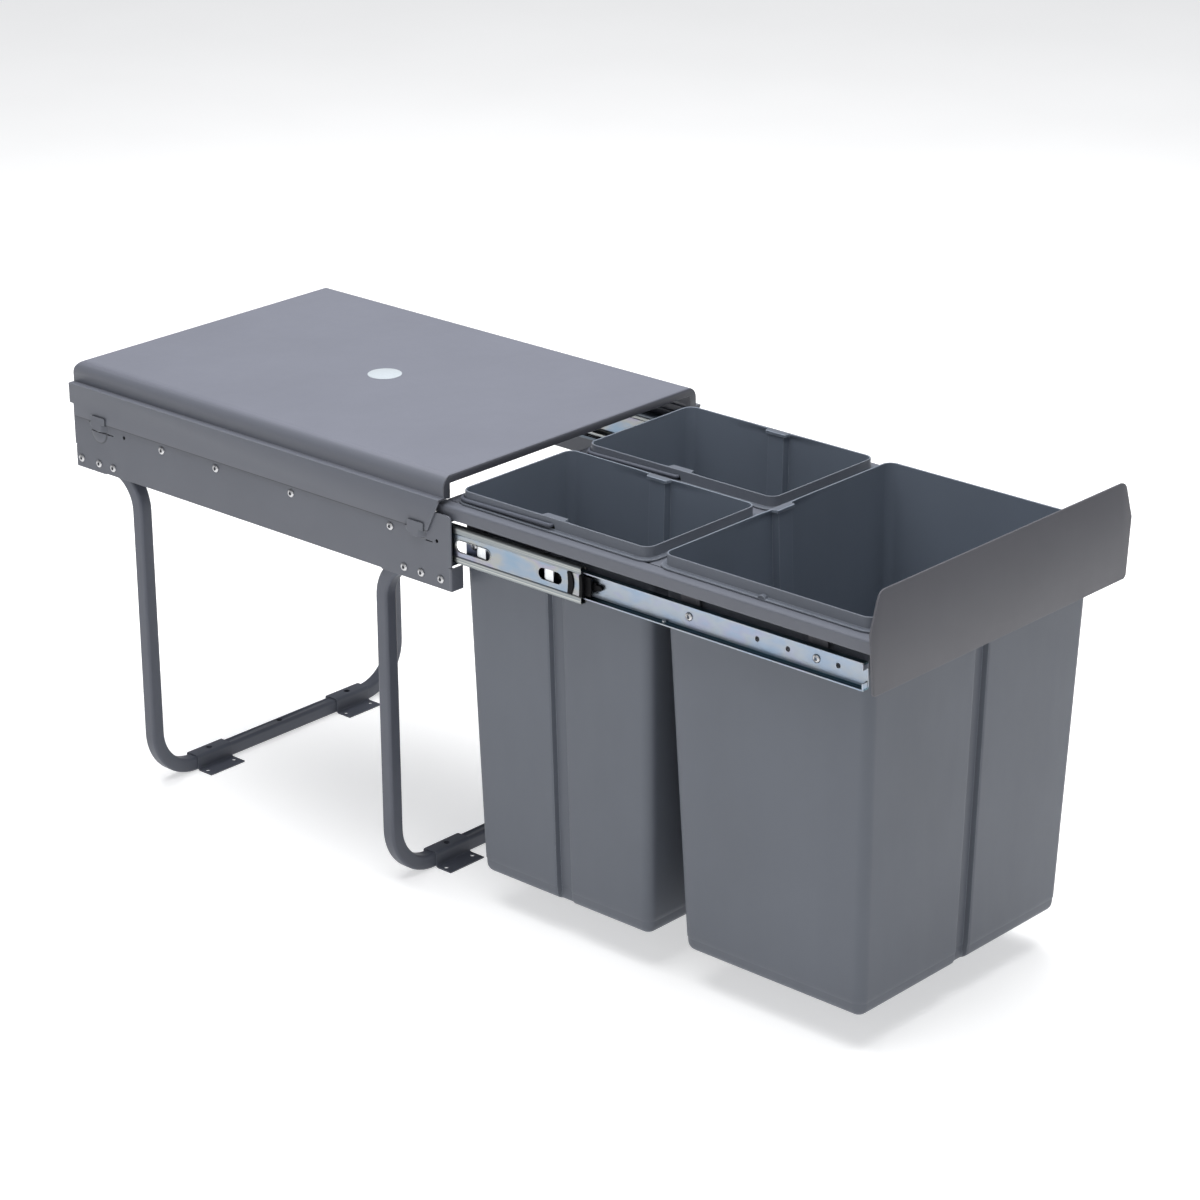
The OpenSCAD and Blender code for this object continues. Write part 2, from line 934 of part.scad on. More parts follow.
// outline of the panel: widest a little above its middle, with rounded corners
module front_panel() {
    low = [panel_low_x - panel_low_r, panel_low_z + panel_low_r];
    top = [panel_top_x - panel_top_r, panel_top_z - panel_top_r];
    lean_low = atan((panel_wide_x - panel_low_x) / (panel_wide_z - low[1]));
    lean_top = atan((panel_wide_x - panel_top_x) / (top[1] - panel_wide_z));
    right = concat(arc_points(low, panel_low_r, -90, -lean_low), [[panel_wide_x, panel_wide_z]],
        arc_points(top, panel_top_r, lean_top, 90));
    color("#686970")
        along_y(panel_front_y, tray_front_y)
            polygon(concat(right, [for (i = [len(right) - 1 : -1 : 0]) [-right[i][0], right[i][1]]]));
}

// Bins

// drafted block: size w0 by d0 at z0 grows to w1 by d1 at z1
module taper(w0, d0, w1, d1, r0, r1, z0, z1) {
    hull() {
        translate([0, 0, z0])
            linear_extrude(thin)
                round_rect(w0, d0, r0, $fn = 32);
        translate([0, 0, z1 - thin])
            linear_extrude(thin)
                round_rect(w1, d1, r1, $fn = 32);
    }
}

// rounded foot under a drafted block: size w by d at its top
module rounded_foot(w, d, r, z0, h) {
    hull()
        for (i = [0 : len(foot_in) - 1])
            translate([0, 0, z0 + foot_up[i] * (h - thin)])
                linear_extrude(thin)
                    round_rect(w - 2 * foot_in[i], d - 2 * foot_in[i], r - foot_in[i] / 2, $fn = 32);
}

// strip across the two walls that carry the ribs, w wide
module rib_zone(across, w, z0, z1) {
    translate([across ? -frame_w / 2 : -w / 2, across ? -w / 2 : -frame_w / 2, z0])
        cube([across ? frame_w : w, across ? w : frame_w, z1 - z0]);
}

// open bin with its middle at x = 0, y = 0: rim size w by d, draft dx and dy a side
// the ribs stand in the middle of the two end walls, or of the side walls where across is true
module bin(w, d, dx, dy, across) {
    band_z = bin_low_z + foot_band_h;
    k = foot_band_h / (bin_seat_z - bin_low_z);
    band_w = w - 2 * dx * (1 - k);
    band_d = d - 2 * dy * (1 - k);
    in_r = bin_r - bin_wall;
    rib_x = across ? rib_d : 0;
    rib_y = across ? 0 : rib_d;
    wall_x = 2 * (bin_wall + rib_x);
    wall_y = 2 * (bin_wall + rib_y);
    difference() {
        union() {
            difference() {
                union() {
                    rounded_foot(band_w, band_d, bin_r, bin_low_z, foot_band_h);
                    taper(band_w, band_d, w, d, bin_r, bin_r, band_z - thin, bin_seat_z + thin);
                }
                // grooves down the outside
                difference() {
                    rib_zone(across, groove_w, bin_low_z - cut, bin_seat_z - groove_top);
                    taper(band_w - 2 * rib_x, band_d - 2 * rib_y, w - 2 * rib_x, d - 2 * rib_y,
                        bin_r, bin_r, bin_low_z - 2 * cut, bin_seat_z);
                }
            }
            // flange on the tray and the collar above it
            translate([0, 0, bin_seat_z])
                linear_extrude(flange_t)
                    round_rect(w + 2 * flange_w, d + 2 * flange_w, bin_r + flange_w);
            translate([0, 0, flange_top_z - thin])
                linear_extrude(bin_rim_z - flange_top_z + thin)
                    round_rect(w, d, bin_r);
        }
        // inside, less the two ribs
        difference() {
            union() {
                rounded_foot(band_w - 2 * bin_wall, band_d - 2 * bin_wall, in_r, bin_low_z + bin_wall,
                    foot_band_h - bin_wall);
                taper(band_w - 2 * bin_wall, band_d - 2 * bin_wall, w - 2 * bin_wall, d - 2 * bin_wall,
                    in_r, in_r, band_z - 2 * thin, bin_seat_z);
                translate([0, 0, bin_seat_z - thin])
                    linear_extrude(bin_rim_z - bin_seat_z + cut)
                        round_rect(w - 2 * bin_wall, d - 2 * bin_wall, in_r);
            }
            difference() {
                rib_zone(across, rib_w, bin_low_z - cut, bin_rim_z + 2 * cut);
                taper(band_w - wall_x, band_d - wall_y, w - wall_x, d - wall_y, in_r, in_r,
                    bin_low_z, bin_rim_z + 3 * cut);
            }
        }
        // pivot holes for the handle
        for (s = [-1, 1])
            translate([across ? s * (w / 2 - pin_depth / 2) : 0, across ? 0 : s * (d / 2 - pin_depth / 2),
                    pivot_z])
                rotate([0, 90, across ? 0 : 90])
                    cylinder(h = pin_depth + 2 * gap + cut, r = wire_r + pin_play, center = true);
    }
}

module large_bin() {
    color("#6C7079")
        translate([0, large_y, 0]) {
            bin(2 * collar_x, large_bin_d, large_draft_x, large_draft_y, across = false);
            // half round nubs that the handle comes to rest on
            for (s = [-1, 1])
                intersection() {
                    translate([s * (collar_x + flange_w / 2), 0, flange_top_z])
                        rotate([0, 90, 0])
                            cylinder(h = flange_w, r = nub_r, center = true);
                    translate([-2 * collar_x, -nub_r, bin_seat_z + flange_t / 2])
                        cube([4 * collar_x, 2 * nub_r, 2 * nub_r]);
                }
        }
}

module small_bin_left() {
    color("#6C7079")
        translate([-small_x, small_y, 0])
            bin(small_w, small_bin_d, small_draft_x, small_draft_y, across = true);
}

module small_bin_right() {
    color("#6C7079")
        translate([small_x, small_y, 0])
            bin(small_w, small_bin_d, small_draft_x, small_draft_y, across = true);
}

// wire handle lying flat: pivot axis along X through the origin, bow towards +Y
module handle(span, reach) {
    half = span / 2;
    r = handle_corner_r;
    b = wire_bend_r;
    wire_in = wire_off + pin_depth - 0.5;
    for (s = [-1, 1]) {
        translate([s * half, b, 0])
            rotate([-90, 0, 0])
                cylinder(h = reach - r - b, r = wire_r);
        translate([s * (half - b), b, 0])
            rotate([0, 0, s > 0 ? 270 : 180])
                rotate_extrude(angle = 90)
                    translate([b, 0])
                        circle(wire_r);
        translate([s * (half - b) - (s > 0 ? wire_in - b : 0), 0, 0])
            rotate([0, 90, 0])
                cylinder(h = wire_in - b, r = wire_r);
        translate([s * (half - r), reach - r, 0])
            rotate([0, 0, s > 0 ? 0 : 90])
                rotate_extrude(angle = 90)
                    translate([r, 0])
                        circle(wire_r);
    }
    translate([-half + r, reach, 0])
        rotate([0, 90, 0])
            cylinder(h = span - 2 * r, r = wire_r);
}

module large_handle() {
    color("#4C5058")
        translate([0, large_y, pivot_z])
            rotate([0, 0, -90])
                rotate([large_handle_lift, 0, 0])
                    handle(large_span, large_reach);
}

module small_handle_left() {
    color("#4C5058")
        translate([-small_x, small_y, pivot_z])
            rotate([-small_handle_drop, 0, 0])
                handle(small_span, small_reach);
}

module small_handle_right() {
    color("#4C5058")
        translate([small_x, small_y, pivot_z])
            rotate([-small_handle_drop, 0, 0])
                handle(small_span, small_reach);
}

// Cover

module cover_section(t) {
    r = cover_bend_r - t;
    top = cover_top_z - t;
    x = cover_wall_x - t;
    translate([-x, ledge_z - cut])
        square([2 * x, top - r - ledge_z + cut]);
    translate([-x + r, ledge_z - cut])
        square([2 * (x - r), top - ledge_z + cut]);
    for (s = [-1, 1])
        translate([s * (x - r), top - r])
            circle(r);
}

module cover_side_view(t) {
    front = cover_front_y + t;
    rear = cover_rear_y - t;
    top = cover_top_z - t;
    rf = cover_front_r - t;
    rr = cover_rear_r - t;
    translate([front, 0])
        square([rear - front, top - rr]);
    translate([front + rf, 0])
        square([rear - rr - front - rf, top]);
    translate([front, 0])
        square([rf, top - rf]);
    translate([front + rf, top - rf])
        circle(rf);
    translate([rear - rr, top - rr])
        circle(rr);
}

module cover_block(t) {
    intersection() {
        along_y(cover_front_y - cut, cover_rear_y + cut)
            cover_section(t);
        along_x(-cover_wall_x - cut, cover_wall_x + cut)
            cover_side_view(t);
    }
}

module cover_skirt_view() {
    polygon([[cover_front_y, ledge_z], [cover_front_y, ledge_z - cover_t],
        [skirt_back_y, skirt_low_z], [tail_y, skirt_low_z], [tail_y, tail_z],
        [cover_rear_y, tail_z], [cover_rear_y, ledge_z]]);
}

module cover() {
    color("#9496A2") {
        difference() {
            cover_block(0);
            cover_block(cover_t);
            // the front and rear ends keep a turned-in lip all round
            translate([-cover_wall_x + cover_lip, cover_front_y - cut, ledge_z - 2 * cut])
                cube([2 * (cover_wall_x - cover_lip), cover_rear_y - cover_front_y + 2 * cut,
                    cover_top_z - cover_lip - ledge_z + 2 * cut]);
            translate([-cover_wall_x - cut, cover_front_y - cut, ledge_z - cover_bend_r])
                cube([2 * (cover_wall_x + cut), cover_rear_y - cover_front_y + 2 * cut,
                    cover_bend_r - cover_t]);
        }
        for (s = [0, 1])
            mirror([s, 0, 0]) {
                along_x(-skirt_out_x, -skirt_out_x + cover_t)
                    cover_skirt_view();
                translate([-skirt_out_x, cover_front_y, ledge_z - cover_t])
                    cube([skirt_out_x - cover_wall_x + cover_t, cover_rear_y - cover_front_y,
                        cover_t]);
            }
    }
}

module cover_sticker() {
    color("#E4E7EA")
        translate([0, plate_mid_y + 2, cover_top_z])
            cylinder(h = sticker_t, r = sticker_r);
}

side_plate_left();
side_plate_right();
rear_leg();
front_leg();
foot_rear_left();
foot_rear_right();
foot_front_left();
foot_front_right();
outer_slide_left();
outer_slide_right();
slide_rivets_left();
slide_rivets_right();
leg_rivets_left();
leg_rivets_right();
cover();
cover_sticker();
middle_slide_left();
middle_slide_right();
slide_bumper_left();
slide_bumper_right();
outer_cage_left();
outer_cage_right();
outer_balls_left();
outer_balls_right();
inner_cage_left();
inner_cage_right();
inner_balls_left();
inner_balls_right();
tray_rail_left();
tray_rail_right();
tray_front_bar();
tray_rear_bar();
tray_cross_bar();
tray_centre_bar();
slide_lugs_left();
slide_lugs_right();
inner_slide_left();
inner_slide_right();
lug_rivets_left();
lug_rivets_right();
front_panel();
release_lever_left();
release_lever_right();
large_bin();
small_bin_left();
small_bin_right();
large_handle();
small_handle_left();
small_handle_right();
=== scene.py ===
# %% [markdown]
# # Pull out bin frame
#
# A waste bin unit for a kitchen cabinet: two bent tube legs carry side plates and a cover,
# and a tray with three lift-out bins runs forward on ball slides.
#
# The CAD frame gives every size. This script adds the surfaces: moulded bins with ribs and
# a rolled rim, powder coated sheet, zinc plated slides, rivets and black plastic stops.
# X is across, -Y is the pull-out direction, Z is up. Blender counts in metres, so a shape is
# worked out in millimetres and scaled once, where its mesh is made.

import math

import bmesh
import bpy
import numpy as np
from mathutils import Matrix, Vector


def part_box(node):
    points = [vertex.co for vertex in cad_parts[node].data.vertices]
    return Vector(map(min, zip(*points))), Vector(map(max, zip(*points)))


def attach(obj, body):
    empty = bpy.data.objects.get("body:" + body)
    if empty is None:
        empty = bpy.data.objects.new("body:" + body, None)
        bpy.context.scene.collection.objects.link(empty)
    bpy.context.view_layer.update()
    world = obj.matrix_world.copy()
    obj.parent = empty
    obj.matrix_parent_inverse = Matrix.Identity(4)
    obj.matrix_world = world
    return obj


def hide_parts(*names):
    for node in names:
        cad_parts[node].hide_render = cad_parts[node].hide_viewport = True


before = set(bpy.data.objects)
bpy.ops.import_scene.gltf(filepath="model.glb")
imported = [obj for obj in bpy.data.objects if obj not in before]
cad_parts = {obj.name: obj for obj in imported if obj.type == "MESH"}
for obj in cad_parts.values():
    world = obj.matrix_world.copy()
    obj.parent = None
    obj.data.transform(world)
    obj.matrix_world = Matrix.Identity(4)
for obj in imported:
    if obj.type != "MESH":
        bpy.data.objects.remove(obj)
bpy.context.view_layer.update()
MM = 0.001

# %% [markdown]
# ## Node helpers
#
# Each material is one node tree. `Nodes` keeps the wiring short: `add` makes a node and
# `wire` joins an output to an input. Patterns use object coordinates, so they sit still on
# the piece, and their scale is in waves per metre.

# %% Node helpers
class Nodes:
    """One material's node tree."""

    def __init__(self, name):
        self.material = bpy.data.materials.new(name)
        self.material.use_nodes = True
        self.tree = self.material.node_tree
        self.shader = self.tree.nodes["Principled BSDF"]
        self.place = self.add("ShaderNodeTexCoord").outputs["Object"]

    def add(self, kind, **values):
        """New node. Each value goes to the input of that name, or else to the node's own setting."""
        node = self.tree.nodes.new(kind)
        for key, value in values.items():
            if key in node.inputs:
                node.inputs[key].default_value = value
            else:
                setattr(node, key, value)
        return node

    def wire(self, out, into):
        """Joins an output to an input."""
        self.tree.links.new(out, into)

    def scaled(self, x, y, z):
        """Object coordinates stretched by a factor along each axis."""
        node = self.add("ShaderNodeMapping", Scale=(x, y, z))
        self.wire(self.place, node.inputs["Vector"])
        return node.outputs["Vector"]

    def along(self, axis):
        """Object coordinate along one axis."""
        split = self.add("ShaderNodeSeparateXYZ")
        self.wire(self.place, split.inputs["Vector"])
        return split.outputs[axis]

    def noise(self, scale, detail=3.0, rough=0.5, vector=None):
        """Cloud pattern from 0 to 1."""
        node = self.add("ShaderNodeTexNoise", Scale=scale, Detail=detail, Roughness=rough)
        self.wire(vector or self.place, node.inputs["Vector"])
        return node.outputs["Fac"]

    def ramp(self, factor, *stops):
        """Colour ramp; each stop is (position, colour) and a colour may be one grey value."""
        node = self.add("ShaderNodeValToRGB")
        band = node.color_ramp
        while len(band.elements) < len(stops):
            band.elements.new(0.5)
        for element, (where, colour) in zip(band.elements, stops):
            element.position = where
            rgb = (colour,) * 3 if isinstance(colour, float) else colour
            element.color = (*rgb, 1.0)
        self.wire(factor, node.inputs["Fac"])
        return node.outputs["Color"]

    def spread(self, value, source=(0.0, 1.0), target=(0.0, 1.0)):
        """A number that runs over target while value runs over source, and stops at its ends."""
        node = self.add("ShaderNodeMapRange")
        for word, ends in (("From", source), ("To", target)):
            node.inputs[f"{word} Min"].default_value = ends[0]
            node.inputs[f"{word} Max"].default_value = ends[1]
        self.wire(value, node.inputs["Value"])
        return node.outputs["Result"]

    def above(self, axis, level, width):
        """0 below a level of a coordinate, 1 above it, with a ramp of a width between."""
        return self.spread(self.along(axis), (level, level + width))

    def result(self, operation, first, second=None):
        """What a Math node makes of a socket, and of a second socket or number."""
        node = self.add("ShaderNodeMath", operation=operation)
        self.wire(first, node.inputs[0])
        if isinstance(second, bpy.types.NodeSocket):
            self.wire(second, node.inputs[1])
        elif second is not None:
            node.inputs[1].default_value = second
        return node.outputs["Value"]

    def mix(self, factor, first, second):
        """The first colour where factor is 0 and the second where it is 1."""
        node = self.add("ShaderNodeMix", data_type="RGBA")
        slots = [s for s in node.inputs if s.type == "RGBA"]
        if isinstance(factor, float):
            node.inputs[0].default_value = factor
        else:
            self.wire(factor, node.inputs[0])
        for slot, value in zip(slots, (first, second)):
            if isinstance(value, tuple):
                slot.default_value = (*value, 1.0)
            else:
                self.wire(value, slot)
        return [s for s in node.outputs if s.type == "RGBA"][0]

    def bump(self, height, strength, distance, onto=None):
        """Normal tilted by a height, on top of another normal if one is given."""
        node = self.add("ShaderNodeBump", Strength=strength, Distance=distance)
        self.wire(height, node.inputs["Height"])
        if onto is not None:
            self.wire(onto, node.inputs["Normal"])
        return node.outputs["Normal"]

    def edge_wear_and_highlight(self, radius):
        """Mask that is 1 on convex edges: the bevelled normal turns away from the flat one. The paler edge
        colour it brings in is partly wear and partly a painted highlight.
        """
        bevel = self.add("ShaderNodeBevel", samples=4, Radius=radius)
        flat = self.add("ShaderNodeNewGeometry").outputs["Normal"]
        dot = self.add("ShaderNodeVectorMath", operation="DOT_PRODUCT")
        self.wire(bevel.outputs["Normal"], dot.inputs[0])
        self.wire(flat, dot.inputs[1])
        return self.spread(dot.outputs["Value"], (0.995, 0.80))

    def set(self, **inputs):
        """Values or sockets for the shader, named by its inputs with _ for a space."""
        for name, value in inputs.items():
            slot = self.shader.inputs[name.replace("_", " ")]
            if isinstance(value, bpy.types.NodeSocket):
                self.wire(value, slot)
            else:
                slot.default_value = value


def shade(tone, share):
    """The tone made darker or lighter by a share."""
    return tuple(share * c for c in tone)


# %% [markdown]
# ## Powder coat
#
# A cured powder film has a fine orange peel about a millimetre across, a slow drift of tone
# over a hand's width and slightly paler edges, partly where the film draws thin and partly a
# painted highlight. Dust dulls the gloss in faint clouds.

# %% Powder coat
def powder_coat(name, tone, edge, roughness=0.46, cover_light_and_shade=None):
    """Coat with worn edges that also carry a painted highlight. The last argument, (front y, side tone,
    side z, lower z), paints light and shade on a folded cover: the top above side z keeps the lighter tone
    as painted light, the sides below it take the side tone, the front lip a painted shade and the cut edge
    at the bottom a painted shadow."""
    n = Nodes(name)
    peel = n.noise(900.0, 2.0, 0.55)
    drift = n.noise(9.0, 4.0, 0.6)
    clouds = n.noise(30.0, 5.0, 0.65)
    film = n.ramp(drift, (0.32, shade(tone, 0.97)), (0.68, shade(tone, 1.03)))
    if cover_light_and_shade:
        lip_y, side_tone, side_z, lower_z = cover_light_and_shade
        # painted light and shade: the top keeps the lighter tone, the sides below take the side tone, the
        # front lip a painted shade
        film = n.mix(n.above("Z", side_z, 2.5 * MM), side_tone, film)
        film = n.mix(n.above("Y", lip_y, 0.2 * MM), shade(tone, 0.40), film)
    # paler convex edges: partly a thin film, partly a painted highlight
    film = n.mix(n.edge_wear_and_highlight(0.7 * MM), film, edge)
    if cover_light_and_shade:
        # painted shadow along the cut edge at the bottom of the skirt
        film = n.mix(n.above("Z", lower_z, 0.3 * MM), shade(tone, 0.35), film)
    grain = n.bump(n.noise(2600.0, 2.0, 0.5), 0.10, 0.04 * MM)
    n.set(Base_Color=film, Roughness=n.spread(clouds, target=(roughness - 0.06, roughness + 0.08)),
          Normal=n.bump(peel, 0.16, 0.12 * MM, grain), Specular_IOR_Level=0.42)
    return n.material


cover_low, cover_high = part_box("cover")
# The cover's coat is a lit copy: its top is painted lighter than its sides, its front lip takes a painted
# shade and its bottom edge a painted shadow.
COVER_LIGHT_AND_SHADE = (cover_low.y + 0.6 * MM, (0.108, 0.115, 0.137), cover_high.z - 4 * MM, cover_low.z + 0.8 * MM)
# The third value of each coat is its edge colour: partly a thin film, partly a painted highlight.
COAT = powder_coat("powder_coat", (0.103, 0.110, 0.131), (0.18, 0.185, 0.205))
COAT_COVER_LIT_AND_SHADED = powder_coat("powder_coat_cover_lit_and_shaded", (0.137, 0.143, 0.172), (0.22, 0.225, 0.25), 0.42, COVER_LIGHT_AND_SHADE)
# A much darker copy of the coat: painted shade on the steep walls of the pressed pockets and the half moon.
COAT_PAINTED_SHADE = powder_coat("powder_coat_painted_shade", (0.045, 0.048, 0.058), (0.09, 0.10, 0.11))
COAT_LEG = powder_coat("powder_coat_leg", (0.079, 0.086, 0.108), (0.12, 0.13, 0.15))
COAT_PANEL = powder_coat("powder_coat_panel", (0.072, 0.072, 0.084), (0.20, 0.20, 0.215))
print("materials with the coats", len(bpy.data.materials))

# %% [markdown]
# ## Moulded bin plastic
#
# Polypropylene from a lightly grained mould: a pebble texture finer than a millimetre,
# faint flow lines down the walls, a soft sheen and paler edges on the rim, partly wear and
# partly a painted highlight.

# %% Bin plastic
def bin_plastic(name, tone, edge):
    """Pebbled plastic whose tone and gloss vary in tall streaks, paler on its edges as wear and a painted
    highlight.
    """
    n = Nodes(name)
    cells = n.add("ShaderNodeTexVoronoi", Scale=1500.0)
    n.wire(n.place, cells.inputs["Vector"])
    flow = n.noise(9.0, 4.0, 0.5, n.scaled(1.0, 1.0, 0.6))
    scuff = n.noise(60.0, 6.0, 0.7, n.scaled(1.0, 1.0, 0.2))
    body = n.ramp(flow, (0.3, shade(tone, 0.93)), (0.7, shade(tone, 1.05)))
    # paler convex edges: partly wear, partly a painted highlight
    n.set(Base_Color=n.mix(n.edge_wear_and_highlight(0.8 * MM), body, edge),
          Roughness=n.spread(scuff, target=(0.40, 0.56)),
          Normal=n.bump(cells.outputs["Distance"], 0.12, 0.06 * MM), Specular_IOR_Level=0.40,
          Subsurface_Weight=0.03, Subsurface_Radius=(2 * MM, 2 * MM, 2 * MM))
    return n.material


BIN = bin_plastic("bin_plastic", (0.100, 0.111, 0.134), (0.30, 0.32, 0.36))
# Painted light: the inside of a bin is the same plastic, painted lighter and bluer for the light that falls
# into it.
BIN_INSIDE_LIT = bin_plastic("bin_plastic_inside_lit", (0.140, 0.165, 0.205), (0.30, 0.33, 0.37))
print("materials with the bins", len(bpy.data.materials))

# %% [markdown]
# ## Metals and small plastics
#
# The slides are rolled steel with blue zinc plate: drawn lines run along Y, and the
# passivate film shows as pale patches of blue, straw and rose. The outer member and the
# inner member's flanges are painted darker as shade, and the slide edges take a painted
# highlight. The balls are polished, the rivets are plain aluminium, and the stops are black plastic.

# %% Metals and small plastics
def zinc(name, tone, tint, roughness, race_and_shade=None, edge=(0.70, 0.66, 0.58)):
    """Zinc plate: tone with a share of tint of the film's colours, and a pale edge colour that is a painted
    highlight. The argument after roughness, (middle z, half height, dark, light, x limit), gives the faces
    beyond that height and inside that limit streaks: on the middle member's bands where the rolls and balls
    burnish the plate, and on the inner member's flanges a dark painted shade with burnished streaks in it."""
    n = Nodes(name)
    patches = n.noise(30.0, 3.0, 0.5, n.scaled(1.0, 0.7, 1.6))
    film = n.ramp(patches, (0.34, (0.21, 0.31, 0.41)), (0.45, (0.28, 0.33, 0.39)),
                  (0.54, (0.38, 0.37, 0.31)), (0.62, (0.34, 0.30, 0.37)), (0.72, (0.23, 0.33, 0.42)))
    base = n.mix(tint, tone, film)
    if race_and_shade:
        middle_z, half, dark, light, x_limit = race_and_shade
        height = n.result("ABSOLUTE", n.result("SUBTRACT", n.along("Z"), middle_z))
        band = n.spread(height, (half, half + 0.5 * MM))
        within = n.result("LESS_THAN", n.result("ABSOLUTE", n.along("X")), x_limit)
        track_streaks_and_shade = n.ramp(n.noise(800.0, 2.0, 0.5, n.scaled(1.0, 0.002, 1.0)), (0.42, dark), (0.58, light))
        base = n.mix(n.result("MULTIPLY", band, within), base, track_streaks_and_shade)
    lines = n.noise(900.0, 2.0, 0.5, n.scaled(1.0, 0.015, 1.0))
    rough = n.spread(n.noise(160.0, 3.0, 0.5), target=(roughness - 0.05, roughness + 0.08))
    # pale convex edges: a painted highlight
    n.set(Base_Color=n.mix(n.edge_wear_and_highlight(0.5 * MM), base, edge), Roughness=rough,
          Normal=n.bump(lines, 0.08, 0.05 * MM), Metallic=1.0)
    return n.material


def plain_metal(name, tone, roughness, scale):
    """Bare metal with fine marks that dull and darken it."""
    n = Nodes(name)
    marks = n.noise(scale, 4.0, 0.6)
    n.set(Base_Color=n.ramp(marks, (0.3, shade(tone, 0.86)), (0.7, tone)),
          Roughness=n.spread(marks, target=(roughness, roughness + 0.16)),
          Normal=n.bump(marks, 0.12, 0.04 * MM), Metallic=1.0)
    return n.material


def small_plastic(name, tone, roughness):
    """Finely grained plastic; a near black one gets a low sheen."""
    n = Nodes(name)
    grain = n.noise(1800.0, 2.0, 0.5)
    n.set(Base_Color=n.ramp(grain, (0.3, shade(tone, 0.8)), (0.7, tone)),
          Roughness=n.spread(grain, target=(roughness, roughness + 0.12)),
          Normal=n.bump(grain, 0.15, 0.05 * MM), Specular_IOR_Level=0.5 if tone[0] > 0.05 else 0.08)
    return n.material


SLIDE_Z = sum(corner.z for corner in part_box("middle_slide_left")) / 2
# Painted shade: the inner member's flanges take a dark streaked tone for the shade that lies on them, with
# burnished streaks in it.
BALL_TRACKS_AND_SHADE = (SLIDE_Z, 9.9 * MM, (0.03, 0.06, 0.08), (0.12, 0.23, 0.28), 162.6 * MM)
ROLLED_BANDS = (SLIDE_Z, 10.3 * MM, (0.22, 0.24, 0.25), (0.40, 0.41, 0.39), 1.0)
ZINC_WEB = zinc("zinc_inner", (0.265, 0.325, 0.42), 0.35, 0.34, BALL_TRACKS_AND_SHADE)
ZINC_BAND = zinc("zinc_middle", (0.23, 0.27, 0.33), 0.60, 0.30, ROLLED_BANDS)
# Painted shade: the outer member is the same zinc, painted much darker with dark edges for the shade it lies
# in.
ZINC_OUTER_SHADED = zinc("zinc_outer_shaded", (0.09, 0.11, 0.13), 0.08, 0.36, edge=(0.13, 0.14, 0.15))
CAGE = plain_metal("cage_steel", (0.72, 0.74, 0.76), 0.22, 300.0)
BALL = plain_metal("ball_steel", (0.74, 0.75, 0.76), 0.10, 500.0)
RIVET = plain_metal("rivet_aluminium", (0.52, 0.52, 0.53), 0.20, 700.0)
# Painted shade: near black for the inside of holes, in rivet heads, gauge holes and handle pivots.
HOLE_SHADE = small_plastic("painted_hole_shade", (0.004, 0.004, 0.004), 0.60)
BLACK = small_plastic("black_plastic", (0.005, 0.005, 0.006), 0.42)
LABEL = small_plastic("blank_label", (0.42, 0.46, 0.49), 0.30)
print("materials in all", len(bpy.data.materials))

# %% [markdown]
# ## Finish on the CAD pieces
#
# Tube, wire, cover and front panel keep their CAD shape. A weld joins split corners, a narrow
# bevel breaks the sharp edges so that they catch light, and the shading turns hard only at
# real corners.

# %% Finish the CAD pieces
SIDES = ("left", "right")
COATED, ZINCED, MOULDED = "grey_powder_coat", "zinc_plated_steel", "grey_bin_plastic"


def break_edges(o, width, limit):
    """Bevel of a width in mm on the edges that turn by more than limit degrees."""
    edge = o.modifiers.new("broken_edge", "BEVEL")
    edge.width = width * MM
    edge.segments = 2
    edge.limit_method = "ANGLE"
    edge.angle_limit = math.radians(limit)
    edge.harden_normals = True


def finish(node, material, slot, bevel=0.3, angle=32):
    """Material and broken edges for a CAD piece that keeps its shape. The slot is not used."""
    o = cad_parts[node]
    o.data.materials.clear()
    o.data.materials.append(material)
    o.data.shade_smooth()
    o.data.set_sharp_from_angle(angle=math.radians(angle))
    weld = o.modifiers.new("weld", "WELD")
    weld.merge_threshold = 1e-5
    if bevel:
        break_edges(o, bevel, 40)


kept = [("front_leg", COAT_LEG, COATED, 0), ("rear_leg", COAT_LEG, COATED, 0),
        ("large_handle", COAT_LEG, COATED, 0), ("cover", COAT_COVER_LIT_AND_SHADED, COATED, 0.4),
        ("front_panel", COAT_PANEL, COATED, 0.5), ("cover_sticker", LABEL, "blank_label", 0.1)]
for side in SIDES:
    kept += [(f"slide_lugs_{side}", COAT_PANEL, COATED), (f"small_handle_{side}", COAT_LEG, COATED, 0),
             (f"outer_cage_{side}", CAGE, ZINCED, 0), (f"inner_cage_{side}", CAGE, ZINCED, 0),
             (f"outer_balls_{side}", BALL, "ball_steel", 0, 60),
             (f"inner_balls_{side}", BALL, "ball_steel", 0, 60)]
for row in kept:
    finish(*row)
print("CAD pieces that keep their shape", len(kept), "of", len(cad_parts))

# %% [markdown]
# ## Meshes and pieces
#
# Every new mesh is a closed form: a grid of points joined by quads, with caps on its ends. A
# piece is such a mesh at the origin with a material, the body that it rides on and the CAD nodes
# that it stands for. What repeats on both sides is made for the left one and turned over for the
# right one.

# %% Mesh helpers
def grid_faces(rows, cols, around=False, closed=False):
    """Quads between neighbours in a grid of points, row by row. around joins the last column to the
    first, and closed joins the last row to the first."""
    i = np.arange(rows if closed else rows - 1)[:, None]
    k = np.arange(cols if around else cols - 1)[None, :]
    below, beside = (i + 1) % rows * cols, (k + 1) % cols
    quads = np.broadcast_arrays(i * cols + k, i * cols + beside, below + beside, below + k)
    return np.stack(quads, -1).reshape(-1, 4).tolist()


